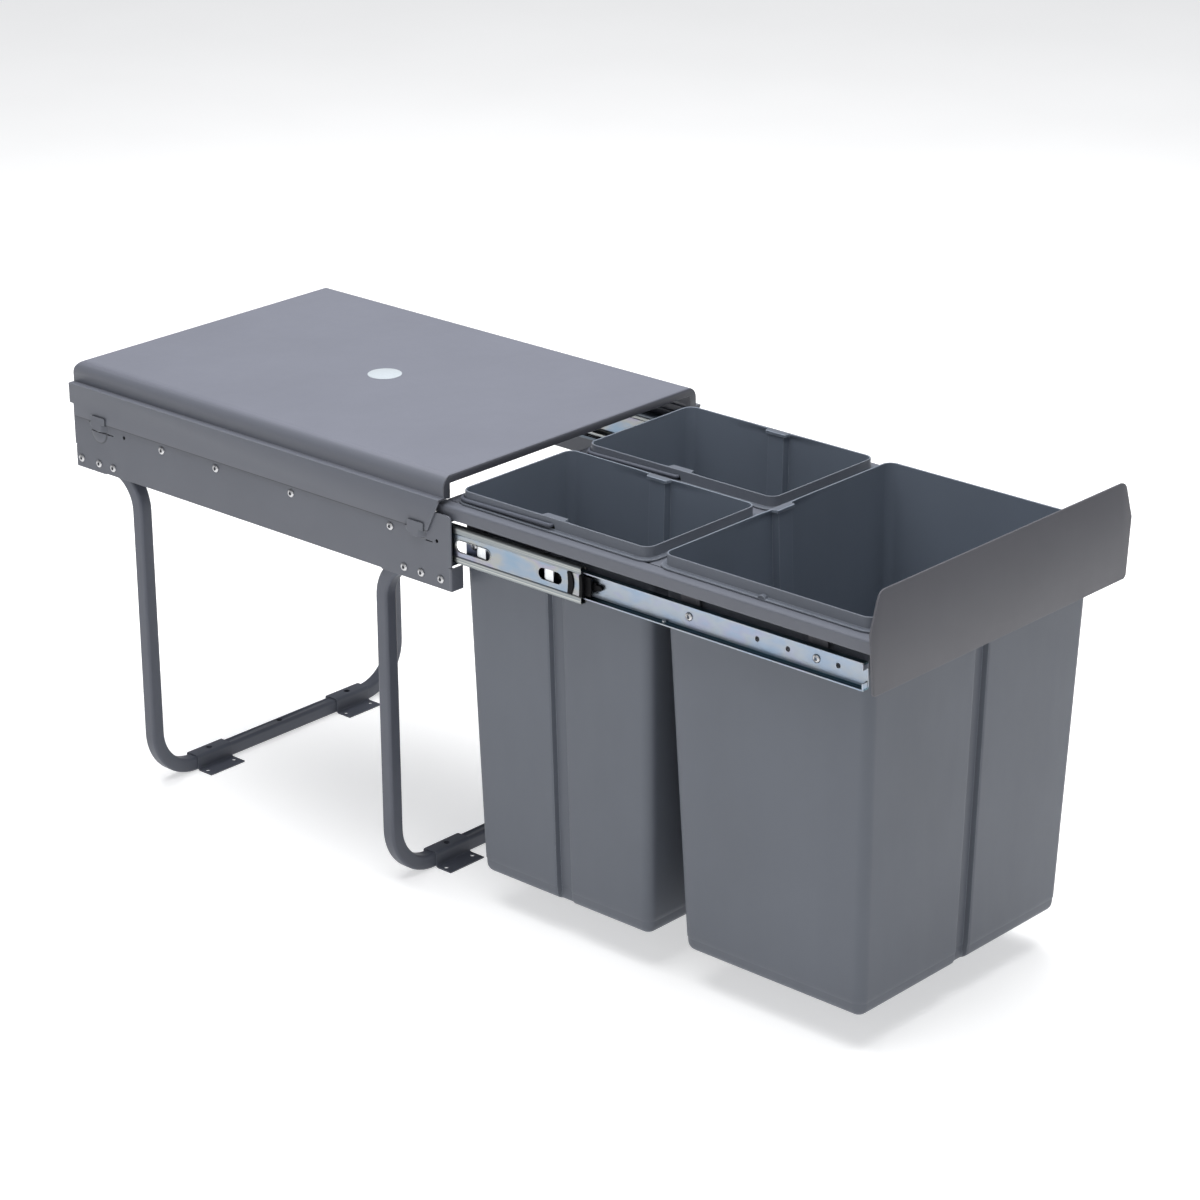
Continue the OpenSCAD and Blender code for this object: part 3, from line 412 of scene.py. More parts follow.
def closed_mesh(name, points, faces, merge=0.0):
    """Mesh of a closed form given in mm. Points within merge of each other become one, and all faces are
    turned outwards."""
    mesh = bpy.data.meshes.new(name)
    mesh.from_pydata((np.asarray(points) * MM).tolist(), [], faces)
    form = bmesh.new()
    form.from_mesh(mesh)
    if merge:
        bmesh.ops.remove_doubles(form, verts=form.verts, dist=merge * MM)
    bmesh.ops.recalc_face_normals(form, faces=form.faces)
    form.to_mesh(mesh)
    form.free()
    return mesh


def drawn_mesh(name, outline, axis, start, end):
    """A closed outline drawn out along an axis. axis "y" takes (x, z) points, "x" takes (y, z) and "z"
    takes (x, y)."""
    place = {"y": (0, 2, 1), "x": (1, 2, 0), "z": (0, 1, 2)}[axis]
    count = len(outline)
    points = np.zeros((2 * count, 3))
    points[:, place[:2]] = np.tile(outline, (2, 1))
    points[:, place[2]] = np.repeat([start, end], count)
    caps = [list(range(count))[::-1], list(range(count, 2 * count))]
    return closed_mesh(name, points, grid_faces(2, count, around=True) + caps)


def joined(name, meshes):
    """One mesh that holds several."""
    form = bmesh.new()
    for mesh in meshes:
        form.from_mesh(mesh)
    whole = bpy.data.meshes.new(name)
    form.to_mesh(whole)
    form.free()
    return whole


def cut_out(mesh, tools):
    """The mesh less some other meshes, worked out once by the exact solver."""
    scene = bpy.context.scene.collection
    body = bpy.data.objects.new("blank", mesh)
    scene.objects.link(body)
    spare = [body]
    for tool in tools:
        cutter = bpy.data.objects.new("cutter", tool)
        scene.objects.link(cutter)
        cut = body.modifiers.new("cut", "BOOLEAN")
        cut.operation, cut.solver, cut.object = "DIFFERENCE", "EXACT", cutter
        spare.append(cutter)
    result = bpy.data.meshes.new_from_object(body.evaluated_get(bpy.context.evaluated_depsgraph_get()))
    for o in spare:
        bpy.data.objects.remove(o)
    return result


def mirrored(mesh, side):
    """The mesh as made for the left side, or turned over in X for the right."""
    if side == "right":
        mesh.transform(Matrix.Diagonal((-1, 1, 1, 1)))
        mesh.flip_normals()
    return mesh


def piece(name, mesh, material, slot, body, nodes=(), bevel=0.2, angle=35):
    """Object at the origin with one material, rounded cut edges, a body to ride on and the nodes it
    replaces."""
    mesh.materials.clear()
    mesh.materials.append(material)
    mesh.shade_smooth()
    mesh.set_sharp_from_angle(angle=math.radians(angle))
    o = bpy.data.objects.new(name, mesh)
    bpy.context.scene.collection.objects.link(o)
    if bevel:
        break_edges(o, bevel, 50)
    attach(o, body)
    if nodes:
        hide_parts(*nodes)
    return o


def side_piece(stem, side, mesh, *details):
    """A piece whose mesh is made for the left side, put on one of the two."""
    return piece(f"{stem}_{side}", mirrored(mesh, side), *details)


def face_vectors(mesh, kind):
    """One vector for each face: its normal or its center."""
    values = np.empty(3 * len(mesh.polygons))
    mesh.polygons.foreach_get(kind, values)
    return values.reshape(-1, 3)


def second_material(mesh, material, chosen):
    """Another material for the chosen faces, given as an array of yes and no."""
    mesh.materials.append(material)
    mesh.polygons.foreach_set("material_index", chosen.astype(np.int32))


print("quads in a tube of 3 rings with 8 sides", len(grid_faces(3, 8, around=True)))

# %% [markdown]
# ## Bent sheet
#
# Slides, rails, bars and brackets are sheet with a constant thickness $t$, bent to a radius.
# The middle of the sheet is a path of straight runs joined by arcs, and its two faces are that
# path moved by $\pm t/2$ along its normal. The closed outline is then drawn out along one
# axis, which is how a roll former makes the real one.

# %% Bent sheet helpers
def corner_arc(y, z, r, a0, a1, steps=6):
    """Points of an arc (y + r cos a, z + r sin a) from a0 to a1 degrees."""
    angle = np.radians(np.linspace(a0, a1, steps + 1))
    return np.column_stack([y + r * np.cos(angle), z + r * np.sin(angle)])


def stadium(y, z, length, height, steps=10):
    """Outline of a slot: a circle when length and height are equal."""
    cap = corner_arc(0, 0, height / 2, -90, 90, steps)
    shift = np.array([(length - height) / 2, 0])
    return np.vstack([cap + shift, -cap - shift]) + (y, z)


def bent_path(corners, radius, steps=6):
    """Points and unit normals of a path whose corners are rounded by arcs. At a corner with turn angle w
    the arc of radius r starts r tan(w / 2) before it, and its points turn evenly from one direction to
    the next."""
    corners = [np.array(c, float) for c in corners]
    points = [corners[0]]
    for before, here, after in zip(corners, corners[1:], corners[2:]):
        into, out = here - before, after - here
        room = 0.45 * min(np.linalg.norm(into), np.linalg.norm(out))
        into, out = into / np.linalg.norm(into), out / np.linalg.norm(out)
        turn = math.atan2(into[0] * out[1] - into[1] * out[0], into @ out)
        reach = math.tan(abs(turn) / 2)
        r = min(radius, room / reach)
        start = here - into * r * reach
        centre = start + math.copysign(r, turn) * np.array([-into[1], into[0]])
        w = np.linspace(0, turn, steps + 1)[:, None]
        arm = start - centre
        points += list(centre + np.cos(w) * arm + np.sin(w) * np.array([-arm[1], arm[0]]))
    points = np.array(points + [corners[-1]])
    along = np.diff(points, axis=0)
    along /= np.linalg.norm(along, axis=1)[:, None]
    middle = np.vstack([along[:1], along]) + np.vstack([along, along[-1:]])
    middle /= np.linalg.norm(middle, axis=1)[:, None]
    return points, np.column_stack([-middle[:, 1], middle[:, 0]])


def bent_sheet(name, corners, thickness, radius, axis, start, end):
    """Mesh of a bent sheet from the corners of its middle line."""
    points, normals = bent_path(corners, radius)
    half = normals * thickness / 2
    return drawn_mesh(name, np.vstack([points + half, (points - half)[::-1]]), axis, start, end)


print("points on a path with one bend", len(bent_path([(0, 0), (10, 0), (10, 10)], 2)[0]))

# %% [markdown]
# ## Slide members
#
# Three rolled sections run in each other. Each is given by the middle line of its sheet, with
# u counted inwards from the side plate and z from the centre line of the slide. The middle
# member shows: two bands, a shallow step to its web and two slots, of which the rear one has a
# drawn collar round it.

# %% Slide sizes
def mm_box(node):
    """Lowest and highest corner of a CAD node in mm."""
    low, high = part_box(node)
    return np.array(low) / MM, np.array(high) / MM


plate_low, plate_high = mm_box("side_plate_left")
outer_low, outer_high = mm_box("outer_slide_left")
middle_low, middle_high = mm_box("middle_slide_left")
inner_low, inner_high = mm_box("inner_slide_left")
PLATE_IN = outer_low[0]
CENTRE_Z = SLIDE_Z / MM
OUTER_LINE = [(11.0, 17.7), (11.0, 20.4), (0.6, 20.4)]
MIDDLE_LINE = [(9.0, 13.2), (9.0, 16.5), (2.7, 16.5), (2.7, 10.9), (3.4, 9.9)]
INNER_LINE = [(4.9, 11.4), (11.9, 11.4)]
OUTER_T, MIDDLE_T, INNER_T = 1.2, 1.0, 1.2
MIDDLE_FRONT, INNER_FRONT = middle_low[1], inner_low[1]
FRONT_SLOT, REAR_SLOT = (MIDDLE_FRONT + 35.5, 27.0), (MIDDLE_FRONT + 125.5, 41.0)
SLOT_H, OPEN_HOLE_D, COLLAR_R = 10.5, 4.6, 0.45
OPEN_HOLES_Y = [INNER_FRONT + d for d in (30, 81.5, 113.5)]
STOP_Y, STOP_D = INNER_FRONT + 211, 3.6
print("slide centre z", round(CENTRE_Z, 1), "plate inner face x", round(PLATE_IN, 2))

# %% Slide members
def section(half_line):
    """Corners of a symmetric section: half_line runs from the upper lip to the web as (u, z) pairs."""
    upper = [(PLATE_IN + u, CENTRE_Z + z) for u, z in half_line]
    return upper + [(x, 2 * CENTRE_Z - z) for x, z in reversed(upper)]


def slot_cutter(y, length, height):
    """Cutter for a slot through the web."""
    return drawn_mesh("slot", stadium(y, CENTRE_Z, length, height), "x", PLATE_IN - 4, PLATE_IN + 20)


def tube_loop(name, path, x, radius, sides=8):
    """Closed round tube along a flat loop in the Y-Z plane at x. A ring is the point on the path plus
    r cos(w) along the loop's normal and r sin(w) along X."""
    ahead = np.roll(path, -1, axis=0) - np.roll(path, 1, axis=0)
    ahead /= np.linalg.norm(ahead, axis=1)[:, None]
    out = np.column_stack([ahead[:, 1], -ahead[:, 0]])
    angle = np.linspace(0, 2 * math.pi, sides, endpoint=False)
    ring = path[:, None, :] + radius * np.cos(angle)[None, :, None] * out[:, None, :]
    across = np.broadcast_to(x + radius * np.sin(angle), ring.shape[:2])
    points = np.dstack([across, ring]).reshape(-1, 3)
    return closed_mesh(name, points, grid_faces(len(path), sides, around=True, closed=True))


def end_tab(level):
    """Corner of the inner member's front end, bent in towards the bins, at a height above the centre."""
    line = [(PLATE_IN + 4.9, INNER_FRONT + 0.6), (PLATE_IN + 10.6, INNER_FRONT + 0.6),
            (PLATE_IN + 11.9, INNER_FRONT + 2.4)]
    return bent_sheet("tab", line, INNER_T, 1.0, "z", CENTRE_Z + level - 3.0, CENTRE_Z + level + 3.0)


for side in SIDES:
    mesh = bent_sheet("outer", section(OUTER_LINE), OUTER_T, 1.4, "y", outer_low[1], outer_high[1])
    side_piece("outer_slide_look", side, mesh, ZINC_OUTER_SHADED, ZINCED, "frame", [f"outer_slide_{side}"], 0.15)

    mesh = bent_sheet("middle", section(MIDDLE_LINE), MIDDLE_T, 1.4, "y", MIDDLE_FRONT, middle_high[1])
    mesh = cut_out(mesh, [slot_cutter(y, length, SLOT_H) for y, length in (FRONT_SLOT, REAR_SLOT)])
    body = f"middle_{side}"
    side_piece("middle_slide_look", side, mesh, ZINC_BAND, ZINCED, body, [f"middle_slide_{side}"], 0.15)
    loop = stadium(REAR_SLOT[0], CENTRE_Z, REAR_SLOT[1] + 0.6, SLOT_H + 0.6)
    collar = tube_loop("collar", loop, PLATE_IN + 2.8, COLLAR_R)
    side_piece("slot_collar", side, collar, ZINC_BAND, ZINCED, body, (), 0)

    mesh = bent_sheet("inner", section(INNER_LINE), INNER_T, 1.6, "y", INNER_FRONT, inner_high[1])
    mesh = cut_out(mesh, [slot_cutter(y, OPEN_HOLE_D, OPEN_HOLE_D) for y in OPEN_HOLES_Y])
    side_piece("inner_slide_look", side, mesh, ZINC_WEB, ZINCED, "tray", [f"inner_slide_{side}"], 0.15)
    for word, level in (("low", -8.5), ("high", 8.5)):
        piece(f"end_tab_{side}_{word}", mirrored(end_tab(level), side), ZINC_WEB, ZINCED, "tray", (), 0.15)
    stop = stadium(PLATE_IN + 8.8, STOP_Y, STOP_D, STOP_D)
    bump = drawn_mesh("stop_bump", stop, "z", inner_low[2] + 0.9, inner_low[2] + 2.8)
    side_piece("stop_bump", side, bump, CAGE, ZINCED, "tray", (), 0.6)
print("open holes at y", [round(y, 1) for y in OPEN_HOLES_Y])

# %% [markdown]
# ## Rivets
#
# A blind rivet is a surface of revolution: a domed head with a flat rim, and in its middle the
# hole where the mandrel broke off, painted black inside as shade. The places come from the CAD
# rivets, which are split where their points leave a gap along Y.

# %% Rivets
HEAD_R, HEAD_H, RIM_H, CAD_HEAD_H = 3.85, 1.7, 0.3, 1.55
MANDREL_R, SHANK_R, POLE_R = 1.5, 2.4, 0.02


def solids_along_y(node, gap=3.0):
    """Lowest and highest corner of each solid of a node, told apart by gaps along Y."""
    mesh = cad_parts[node].data
    points = np.empty(3 * len(mesh.vertices))
    mesh.vertices.foreach_get("co", points)
    points = points.reshape(-1, 3) / MM
    points = points[np.argsort(points[:, 1])]
    groups = np.split(points, np.nonzero(np.diff(points[:, 1]) > gap)[0] + 1)
    return [(g.min(axis=0), g.max(axis=0)) for g in groups]


def turned_mesh(name, profile, sides=40):
    """Surface of revolution about X: profile is (x, radius) from one closed end to the other."""
    angle = np.linspace(0, 2 * math.pi, sides, endpoint=False)
    x, r = np.array(profile).T[:, :, None]
    points = np.stack([x + 0 * angle, r * np.cos(angle), r * np.sin(angle)], -1).reshape(-1, 3)
    caps = [list(range(sides))[::-1], list(range(len(points) - sides, len(points)))]
    return closed_mesh(name, points, grid_faces(len(profile), sides, around=True) + caps)


def rivet_profile(length):
    """Head outside x = 0: hole floor, hole wall, rolled hole edge, dome x = -h sqrt(1 - (r / R)^2), rim
    and shank."""
    r = np.linspace(MANDREL_R + 0.3, HEAD_R, 9)
    dome = -RIM_H - (HEAD_H - RIM_H) * np.sqrt(np.maximum(0.0, 1 - (r / HEAD_R) ** 2))
    return np.vstack([[(0.3, POLE_R), (0.3, MANDREL_R - 0.05), (0.45 - HEAD_H, MANDREL_R)],
                      np.column_stack([dome, r]),
                      [(0.0, HEAD_R), (0.0, SHANK_R), (length, SHANK_R), (length, POLE_R)]])


def rivet_row(kind, side, body):
    """All rivets of one CAD node as one piece, painted black inside their mandrel holes as shade."""
    name, node = f"{kind}_rivets_look_{side}", f"{kind}_rivets_{side}"
    boxes = solids_along_y(node)
    rivets = []
    for low, high in boxes:
        rivet = mirrored(turned_mesh("rivet", rivet_profile(high[0] - low[0] - HEAD_H)), side)
        seat = low[0] + CAD_HEAD_H if side == "left" else high[0] - CAD_HEAD_H
        rivet.transform(Matrix.Translation(Vector((seat, *((low + high) / 2)[1:])) * MM))
        rivets.append(rivet)
    mesh = piece(name, joined(name, rivets), RIVET, "aluminium_rivet", body, [node], 0, 40).data
    centres = np.repeat([(low + high) / 2 for low, high in boxes], len(mesh.polygons) // len(boxes), axis=0)
    away = face_vectors(mesh, "center") / MM - centres
    # faces inside the mandrel hole take the black: painted shade
    second_material(mesh, HOLE_SHADE, np.hypot(away[:, 1], away[:, 2]) < 0.98 * MANDREL_R)
    return len(boxes)


RIVET_ROWS = (("slide", "frame"), ("leg", "frame"), ("lug", "tray"))
for side in SIDES:
    counts = [rivet_row(kind, side, body) for kind, body in RIVET_ROWS]
    print(side, "rivets on slide, legs and lugs", counts)

# %% [markdown]
# ## Stops and release levers
#
# The black plastic pieces are flat mouldings: a crescent keeper that snaps into the web of the
# middle member, a bowed stop on its end with a square buffer in front of it, and a lever whose
# round tip sticks out beyond both.

# %% Stops and levers
def flat_moulding(name, outline, u0, u1):
    """An outline in the Y-Z plane, from u0 to u1 inwards of the side plate."""
    return drawn_mesh(name, outline, "x", PLATE_IN + u0, PLATE_IN + u1)


def bow(y, half, width, depth, count=13):
    """Strip of a width, from -half to half along Z, whose front bulges by depth:
    y - depth cos(pi z / 2 half)."""
    z = np.linspace(-half, half, count)
    bulge = depth * np.cos(math.pi * z / (2 * half))
    front = np.column_stack([y - bulge, CENTRE_Z + z])
    back = np.column_stack([y + width - 0.4 * bulge, CENTRE_Z + z])[::-1]
    return np.vstack([front, back])


def lever_outline(pivot_y, tip_y, shoulder):
    """Round tip of radius 2.5 on a short neck, a small cross lug behind it, a shoulder, an arm of half
    height 3.9 and a round pivot."""
    nose = corner_arc(tip_y - 1.5, 0, 2.5, 90, 270, 10)
    low = [(tip_y + 2.2, -2.1), (tip_y + 2.4, -4.0), (tip_y + 4.6, -4.0), (tip_y + 5.0, -2.6),
           (shoulder, -2.6), (shoulder + 2.0, -3.9)]
    root = corner_arc(pivot_y, 0, 4, -90, 90, 8)
    high = [(y, -z) for y, z in reversed(low)]
    return np.vstack([nose, low, root, high]) + (0, CENTRE_Z)


lever_low, lever_high = mm_box("release_lever_left")
LEVER_U, LEVER_T = lever_low[0] - PLATE_IN, 2.6
for side in SIDES:
    stop = joined("stop", [flat_moulding("keeper", bow(MIDDLE_FRONT + 10.5, 9.8, 4.6, 2.4), 1.7, 2.9),
                           flat_moulding("stop", bow(MIDDLE_FRONT - 1.6, 9.8, 3.2, 0.9), 1.6, 4.6),
                           flat_moulding("buffer", bow(MIDDLE_FRONT - 8.4, 8.6, 7.0, 0.5), 5.2, 7.6)])
    side_piece("slide_bumper_look", side, stop, BLACK, "black_plastic", f"middle_{side}",
               [f"slide_bumper_{side}"], 0.25)
    outline = lever_outline(lever_high[1] - 4, lever_low[1] + 4, MIDDLE_FRONT - 7)
    side_piece("release_lever_look", side, flat_moulding("lever", outline, LEVER_U, LEVER_U + LEVER_T),
               BLACK, "black_plastic", f"lever_{side}", [f"release_lever_{side}"], 0.35)
print("lever from y", round(lever_low[1], 1), "to", round(lever_high[1], 1))

# %% [markdown]
# ## Tray sheet and foot brackets
#
# Rails and bars are channels folded from one sheet, and the foot brackets are saddles with a
# flange. All of them take their corners from the CAD boxes and get the bend radius of a press
# brake.

# %% Tray rails and bars
rail_high = mm_box("tray_rail_left")[1]
TRAY_T, TRAY_BEND, RAIL_SHORT = 1.2, 1.5, 2.5
TRAY_TOP = rail_high[2] - TRAY_T / 2


def channel(node, across, shorter=0.0):
    """Sheet folded down at both ends of one axis and drawn along the other. Its far side is shorter."""
    low, high = mm_box(node)
    near, far = low[across] + TRAY_T / 2, high[across] - TRAY_T / 2
    line = [(near, low[2]), (near, TRAY_TOP), (far, TRAY_TOP), (far, low[2] + shorter)]
    run = 1 - across
    return bent_sheet(node, line, TRAY_T, TRAY_BEND, "xy"[run], low[run], high[run])


for side in SIDES:
    rail = channel("tray_rail_left", 0, RAIL_SHORT)
    side_piece("tray_rail_look", side, rail, COAT, COATED, "tray", [f"tray_rail_{side}"], 0.25)
for bar, across in (("front", 1), ("rear", 1), ("cross", 1), ("centre", 0)):
    node = f"tray_{bar}_bar"
    piece(f"{node}_look", channel(node, across), COAT, COATED, "tray", [node], 0.25)
print("tray top z", round(TRAY_TOP, 1))

# %% Foot brackets
FOOT_T, FOOT_BEND, FOOT_LIP, FLANGE = 1.5, 2.6, 3.7, 18.0
HOLE_IN, HOLE_APART, SCREW_D, TUBE_SCREW_D = 7.5, 34, 4.5, 6.0


def foot_bracket(node):
    """Flange on the floor, saddle over the tube, and one hole through the saddle and two in the flange."""
    low, high = mm_box(node)
    wall = low[1] + FLANGE + FOOT_T / 2
    back, top = high[1] - FOOT_T / 2, high[2] - FOOT_T / 2
    line = [(low[1], FOOT_T / 2), (wall, FOOT_T / 2), (wall, top), (back, top), (back, top - FOOT_LIP)]
    sheet = bent_sheet(node, line, FOOT_T, FOOT_BEND, "x", low[0], high[0])
    middle = (low[0] + high[0]) / 2
    spots = [(middle + d, low[1] + FLANGE - HOLE_IN, SCREW_D) for d in (-HOLE_APART / 2, HOLE_APART / 2)]
    spots += [(middle, (wall + back) / 2, TUBE_SCREW_D)]
    return cut_out(sheet, [drawn_mesh("drill", stadium(x, y, d, d), "z", -5, 25) for x, y, d in spots])


for node in (f"foot_{end}_{side}" for side in SIDES for end in ("front", "rear")):
    piece(f"{node}_look", foot_bracket(node), COAT_LEG, COATED, "frame", [node], 0.2)
print("foot flange", FLANGE, "deep with screw holes", HOLE_APART, "apart")

# %% [markdown]
# ## Side plates
#
# A side plate is one laser cut sheet: an outline with rounded upper corners, two small gauge
# holes and two relief slits, and a tab folded inwards at each lower end. The pockets for the
# cover are pressed out of it: over a rounded outline the sheet climbs by
#
# $$h(d) = H\,S(d / w)$$
#
# where $d$ is the distance from the outline, $S$ is the smooth step and $H$ carries the tongue
# past the skirt.

# %% Plate sizes and outline
PLATE_T, TAB_IN, TAB_H, GAUGE_D = 1.5, 2.3, 21, 3.8
PLATE_FACE = plate_low[0] + 3.5
front_y, rear_y = plate_low[1], plate_high[1]
low_z, high_z = plate_low[2], plate_high[2]
POCKETS = {"front": front_y + 42, "rear": rear_y - 36}
GAUGES = {"front": front_y + 17, "rear": rear_y - 71}
TONGUE_TOP = high_z - 12
SKIRT_LOW = cover_low.z / MM


def plate_outline():
    """Straight lower edge with a shallow step, notches for the tabs and two round upper corners."""
    step_front, step_rear, notch_z = front_y + 86, rear_y - 42, low_z + 22
    return np.vstack([
        [(front_y + TAB_IN, low_z), (step_front, low_z), (step_front + 1, low_z + 1),
         (step_rear - 1, low_z + 1), (step_rear, low_z), (rear_y - TAB_IN, low_z),
         (rear_y - TAB_IN, notch_z), (rear_y, notch_z)],
        corner_arc(rear_y - 4, high_z - 4, 4, 0, 90), corner_arc(front_y + 4, high_z - 4, 4, 90, 180),
        [(front_y, notch_z), (front_y + TAB_IN, notch_z)]])


def slit_outline(y0):
    """Tapered relief slit in front of the pocket about y0."""
    return np.array([(y0 - 20.0, SKIRT_LOW - 9.5), (y0 - 11.0, SKIRT_LOW - 9.8),
                     (y0 - 11.0, SKIRT_LOW - 8.2), (y0 - 20.0, SKIRT_LOW - 8.5)])


print("plate from y", round(front_y, 1), "to", round(rear_y, 1), "skirt edge z", round(SKIRT_LOW, 1))

# %% [markdown]
# A pocket and a half moon are patches that stand on the plate. Their points lie on rays from a
# centre to an outline, so one grid holds the rounded form and its soft ramp, and a second
# sheet below it closes the patch.

# %% Plates, tabs and pockets
def smooth_step(x, low, high):
    """0 below low, 1 above high and t t (3 - 2 t) between them."""
    t = np.clip((x - low) / (high - low), 0.0, 1.0)
    return t * t * (3 - 2 * t)


def closed_patch(name, grid, height, base):
    """Form between two sheets over a grid of (y, z) points, at their heights over the plate. Its walls
    follow the last row and both end columns, and its first row is the one centre of all rays."""
    rows, cols = grid.shape[:2]
    layers = [np.dstack([PLATE_FACE - h, grid]).reshape(-1, 3) for h in (height, base)]
    quads = grid_faces(rows, cols)
    under = rows * cols
    spoke = np.arange(rows) * cols
    walls = []
    for line in (under - cols + np.arange(cols), spoke, spoke + cols - 1):
        walls += np.column_stack([line[:-1], line[1:], line[1:] + under, line[:-1] + under]).tolist()
    return closed_mesh(name, np.vstack(layers), quads + (np.array(quads) + under).tolist() + walls, 0.001)


def pocket_mesh(y0, lift=3.5, ramp=2.4):
    """Pressed pocket about y0. Rays leave a centre near the tongue's free end; along each, the height over
    the plate is lift times S(distance from the outline / ramp) below the skirt's edge, and full above it.
    The outline is drawn with the free end at +y and then turned over in Y, because the real end points
    forward."""
    centre = np.array([y0 + 11.6, SKIRT_LOW - 1.0])
    belly = corner_arc(0, 0, 1, -78, -180, 14) * (13.5, 7.6) + (y0 + 2, SKIRT_LOW - 1)
    edge = np.vstack([[(y0 + 12.0, SKIRT_LOW - 8.6)], belly,
                      [(y0 - 11.5, SKIRT_LOW - 0.2), (y0 - 8.0, SKIRT_LOW + 0.4)],
                      corner_arc(y0 - 6.0, TONGUE_TOP - 1.5, 1.5, 180, 90, 4),
                      corner_arc(y0 + 10.5, TONGUE_TOP - 1.5, 1.5, 90, 0, 4), [(y0 + 12.0, SKIRT_LOW - 1.0)]])
    share = np.linspace(0.0, 1.0, 15)
    grid = centre + share[:, None, None] * (edge - centre)
    away = np.linalg.norm(edge - centre, axis=1) * (1 - share[:, None])
    free = smooth_step(grid[:, :, 1], SKIRT_LOW - 0.9, SKIRT_LOW - 0.1)
    fading = smooth_step(y0 + 12.2 - grid[:, :, 0], 0.0, 6.5)
    height = 0.05 + lift * np.maximum(smooth_step(away, 0.0, ramp) * fading, free)
    base = np.where(grid[:, :, 1] > SKIRT_LOW - 1.0, height - 1.2, 0.0)
    grid[:, :, 0] = 2 * y0 - grid[:, :, 0]
    return closed_patch("pocket", grid, height, np.minimum(base, height - 0.05))


def half_moon(y0, radius=11.5, lift=1.4):
    """Shallow dome h = lift (1 - (r / R)^4) below the rear pocket, over a half disc."""
    r = np.linspace(0, 1, 9)[:, None]
    rim = corner_arc(0, 0, radius, 180, 360, 24)
    height = (0.04 + lift * (1 - r ** 4)) * np.ones(len(rim))
    disc = r[:, :, None] * rim + (y0, SKIRT_LOW - 9.0)
    return closed_patch("half_moon", disc, height, np.full_like(height, -0.2))


def shade_folds(o, limit):
    """Painted shade: a darker coat on the faces whose normal leans by more than acos(limit) from the X axis.
    """
    second_material(o.data, COAT_PAINTED_SHADE, np.abs(face_vectors(o.data, "normal")[:, 0]) < limit)


for side in SIDES:
    sheet = drawn_mesh("plate", plate_outline(), "x", PLATE_FACE, PLATE_FACE + PLATE_T)
    holes = [stadium(y, CENTRE_Z, GAUGE_D, GAUGE_D) for y in GAUGES.values()]
    holes += [slit_outline(y0) for y0 in POCKETS.values()]
    sheet = cut_out(sheet, [drawn_mesh("hole", hole, "x", PLATE_FACE - 5, PLATE_FACE + 5) for hole in holes])
    side_piece("side_plate_look", side, sheet, COAT, COATED, "frame", [f"side_plate_{side}"], 0.35)
    for end, y, inwards in (("front", front_y, 1), ("rear", rear_y, -1)):
        x, fold_y = PLATE_FACE + PLATE_T / 2, y + inwards * PLATE_T / 2
        line = [(x, y + inwards * TAB_IN), (x, fold_y), (plate_high[0], fold_y)]
        tab = bent_sheet("tab", line, PLATE_T, 1.4, "z", low_z, low_z + TAB_H)
        side_piece(f"plate_tab_{end}", side, tab, COAT, COATED, "frame", (), 0.3)
        pocket = pocket_mesh(POCKETS[end])
        # the steep walls of the pocket, and below the rim of the half moon, take painted shade
        shade_folds(side_piece(f"pocket_{end}", side, pocket, COAT, COATED, "frame", (), 0), 0.7)
        # a thin black disc in each gauge hole is painted shade
        gauge_shade_disc = turned_mesh("gauge_shade_disc", [(0.0, POLE_R), (0.0, GAUGE_D / 2), (0.3, GAUGE_D / 2), (0.3, POLE_R)], 24)
        gauge_shade_disc.transform(Matrix.Translation(Vector((PLATE_FACE + 1.1, GAUGES[end], CENTRE_Z)) * MM))
        side_piece(f"gauge_hole_{end}", side, gauge_shade_disc, HOLE_SHADE, COATED, "frame", (), 0)
    moon = half_moon(POCKETS["rear"])
    shade_folds(side_piece("half_moon", side, moon, COAT, COATED, "frame", (), 0, 60), 0.955)
    print(side, "plate faces", len(sheet.polygons), "pocket faces", len(pocket.polygons))

# %% [markdown]
# ## Bins
#
# A bin is one lofted surface. Its level lines are rounded rectangles
#
# $$p(t) = \text{corner arc of radius } r \text{ joined by straight sides } 2(a-r),\ 2(b-r)$$
#
# A profile of (height, inset) pairs runs from the middle of the underside up the outside,
# over the flange, the collar and the rim, and down the inside. A rib adds a sideways push
# $g(s)\,h(z)$ on two walls: a groove outside and a rib inside, with a wider cap at the rim.

# %% Bin outline and profile
ARC_STEPS = 10
STATIONS = np.array([-60, -30, -12.6, -12, -11.2, -10, -8.8, -8.2, -7.4, -4, 0,
                     4, 7.4, 8.2, 8.8, 10, 11.2, 12, 12.6, 30, 60])
WALL, LEDGE, COLLAR_H, BAND_H, CORNER_R = 1.5, 4.6, 11.9, 13.0, 10.0
RIB, GROOVE_HALF, RIB_HALF, CAP, CAP_HALF, RIB_EDGE = 5.5, 8.2, 10.0, 6.6, 12.0, 1.1


def level_line(a, b, r):
    """Points and outward normals of a rounded rectangle with half sizes a and b. Each quarter is an arc
    of radius r and the side after it, whose points lie at the stations, held inside 98 percent of it."""
    r = min(max(r, 0.4), a - 1, b - 1)
    points, normals = [], []
    for quarter in range(4):
        turn = math.pi / 2 * (quarter + np.arange(ARC_STEPS + 1) / ARC_STEPS)
        arc = np.column_stack([np.cos(turn), np.sin(turn)])
        corner = np.sign(arc[ARC_STEPS // 2]) * (a - r, b - r)
        reach, half = (b, a - r) if quarter % 2 == 0 else (a, b - r)
        normal = arc[-1]
        shift = np.clip(STATIONS, -0.98 * half, 0.98 * half)[:, None]
        side = reach * normal + shift * np.array([-normal[1], normal[0]])
        points += [corner + r * arc, side]
        normals += [arc, np.tile(normal, (len(STATIONS), 1))]
    return np.vstack(points), np.vstack(normals)


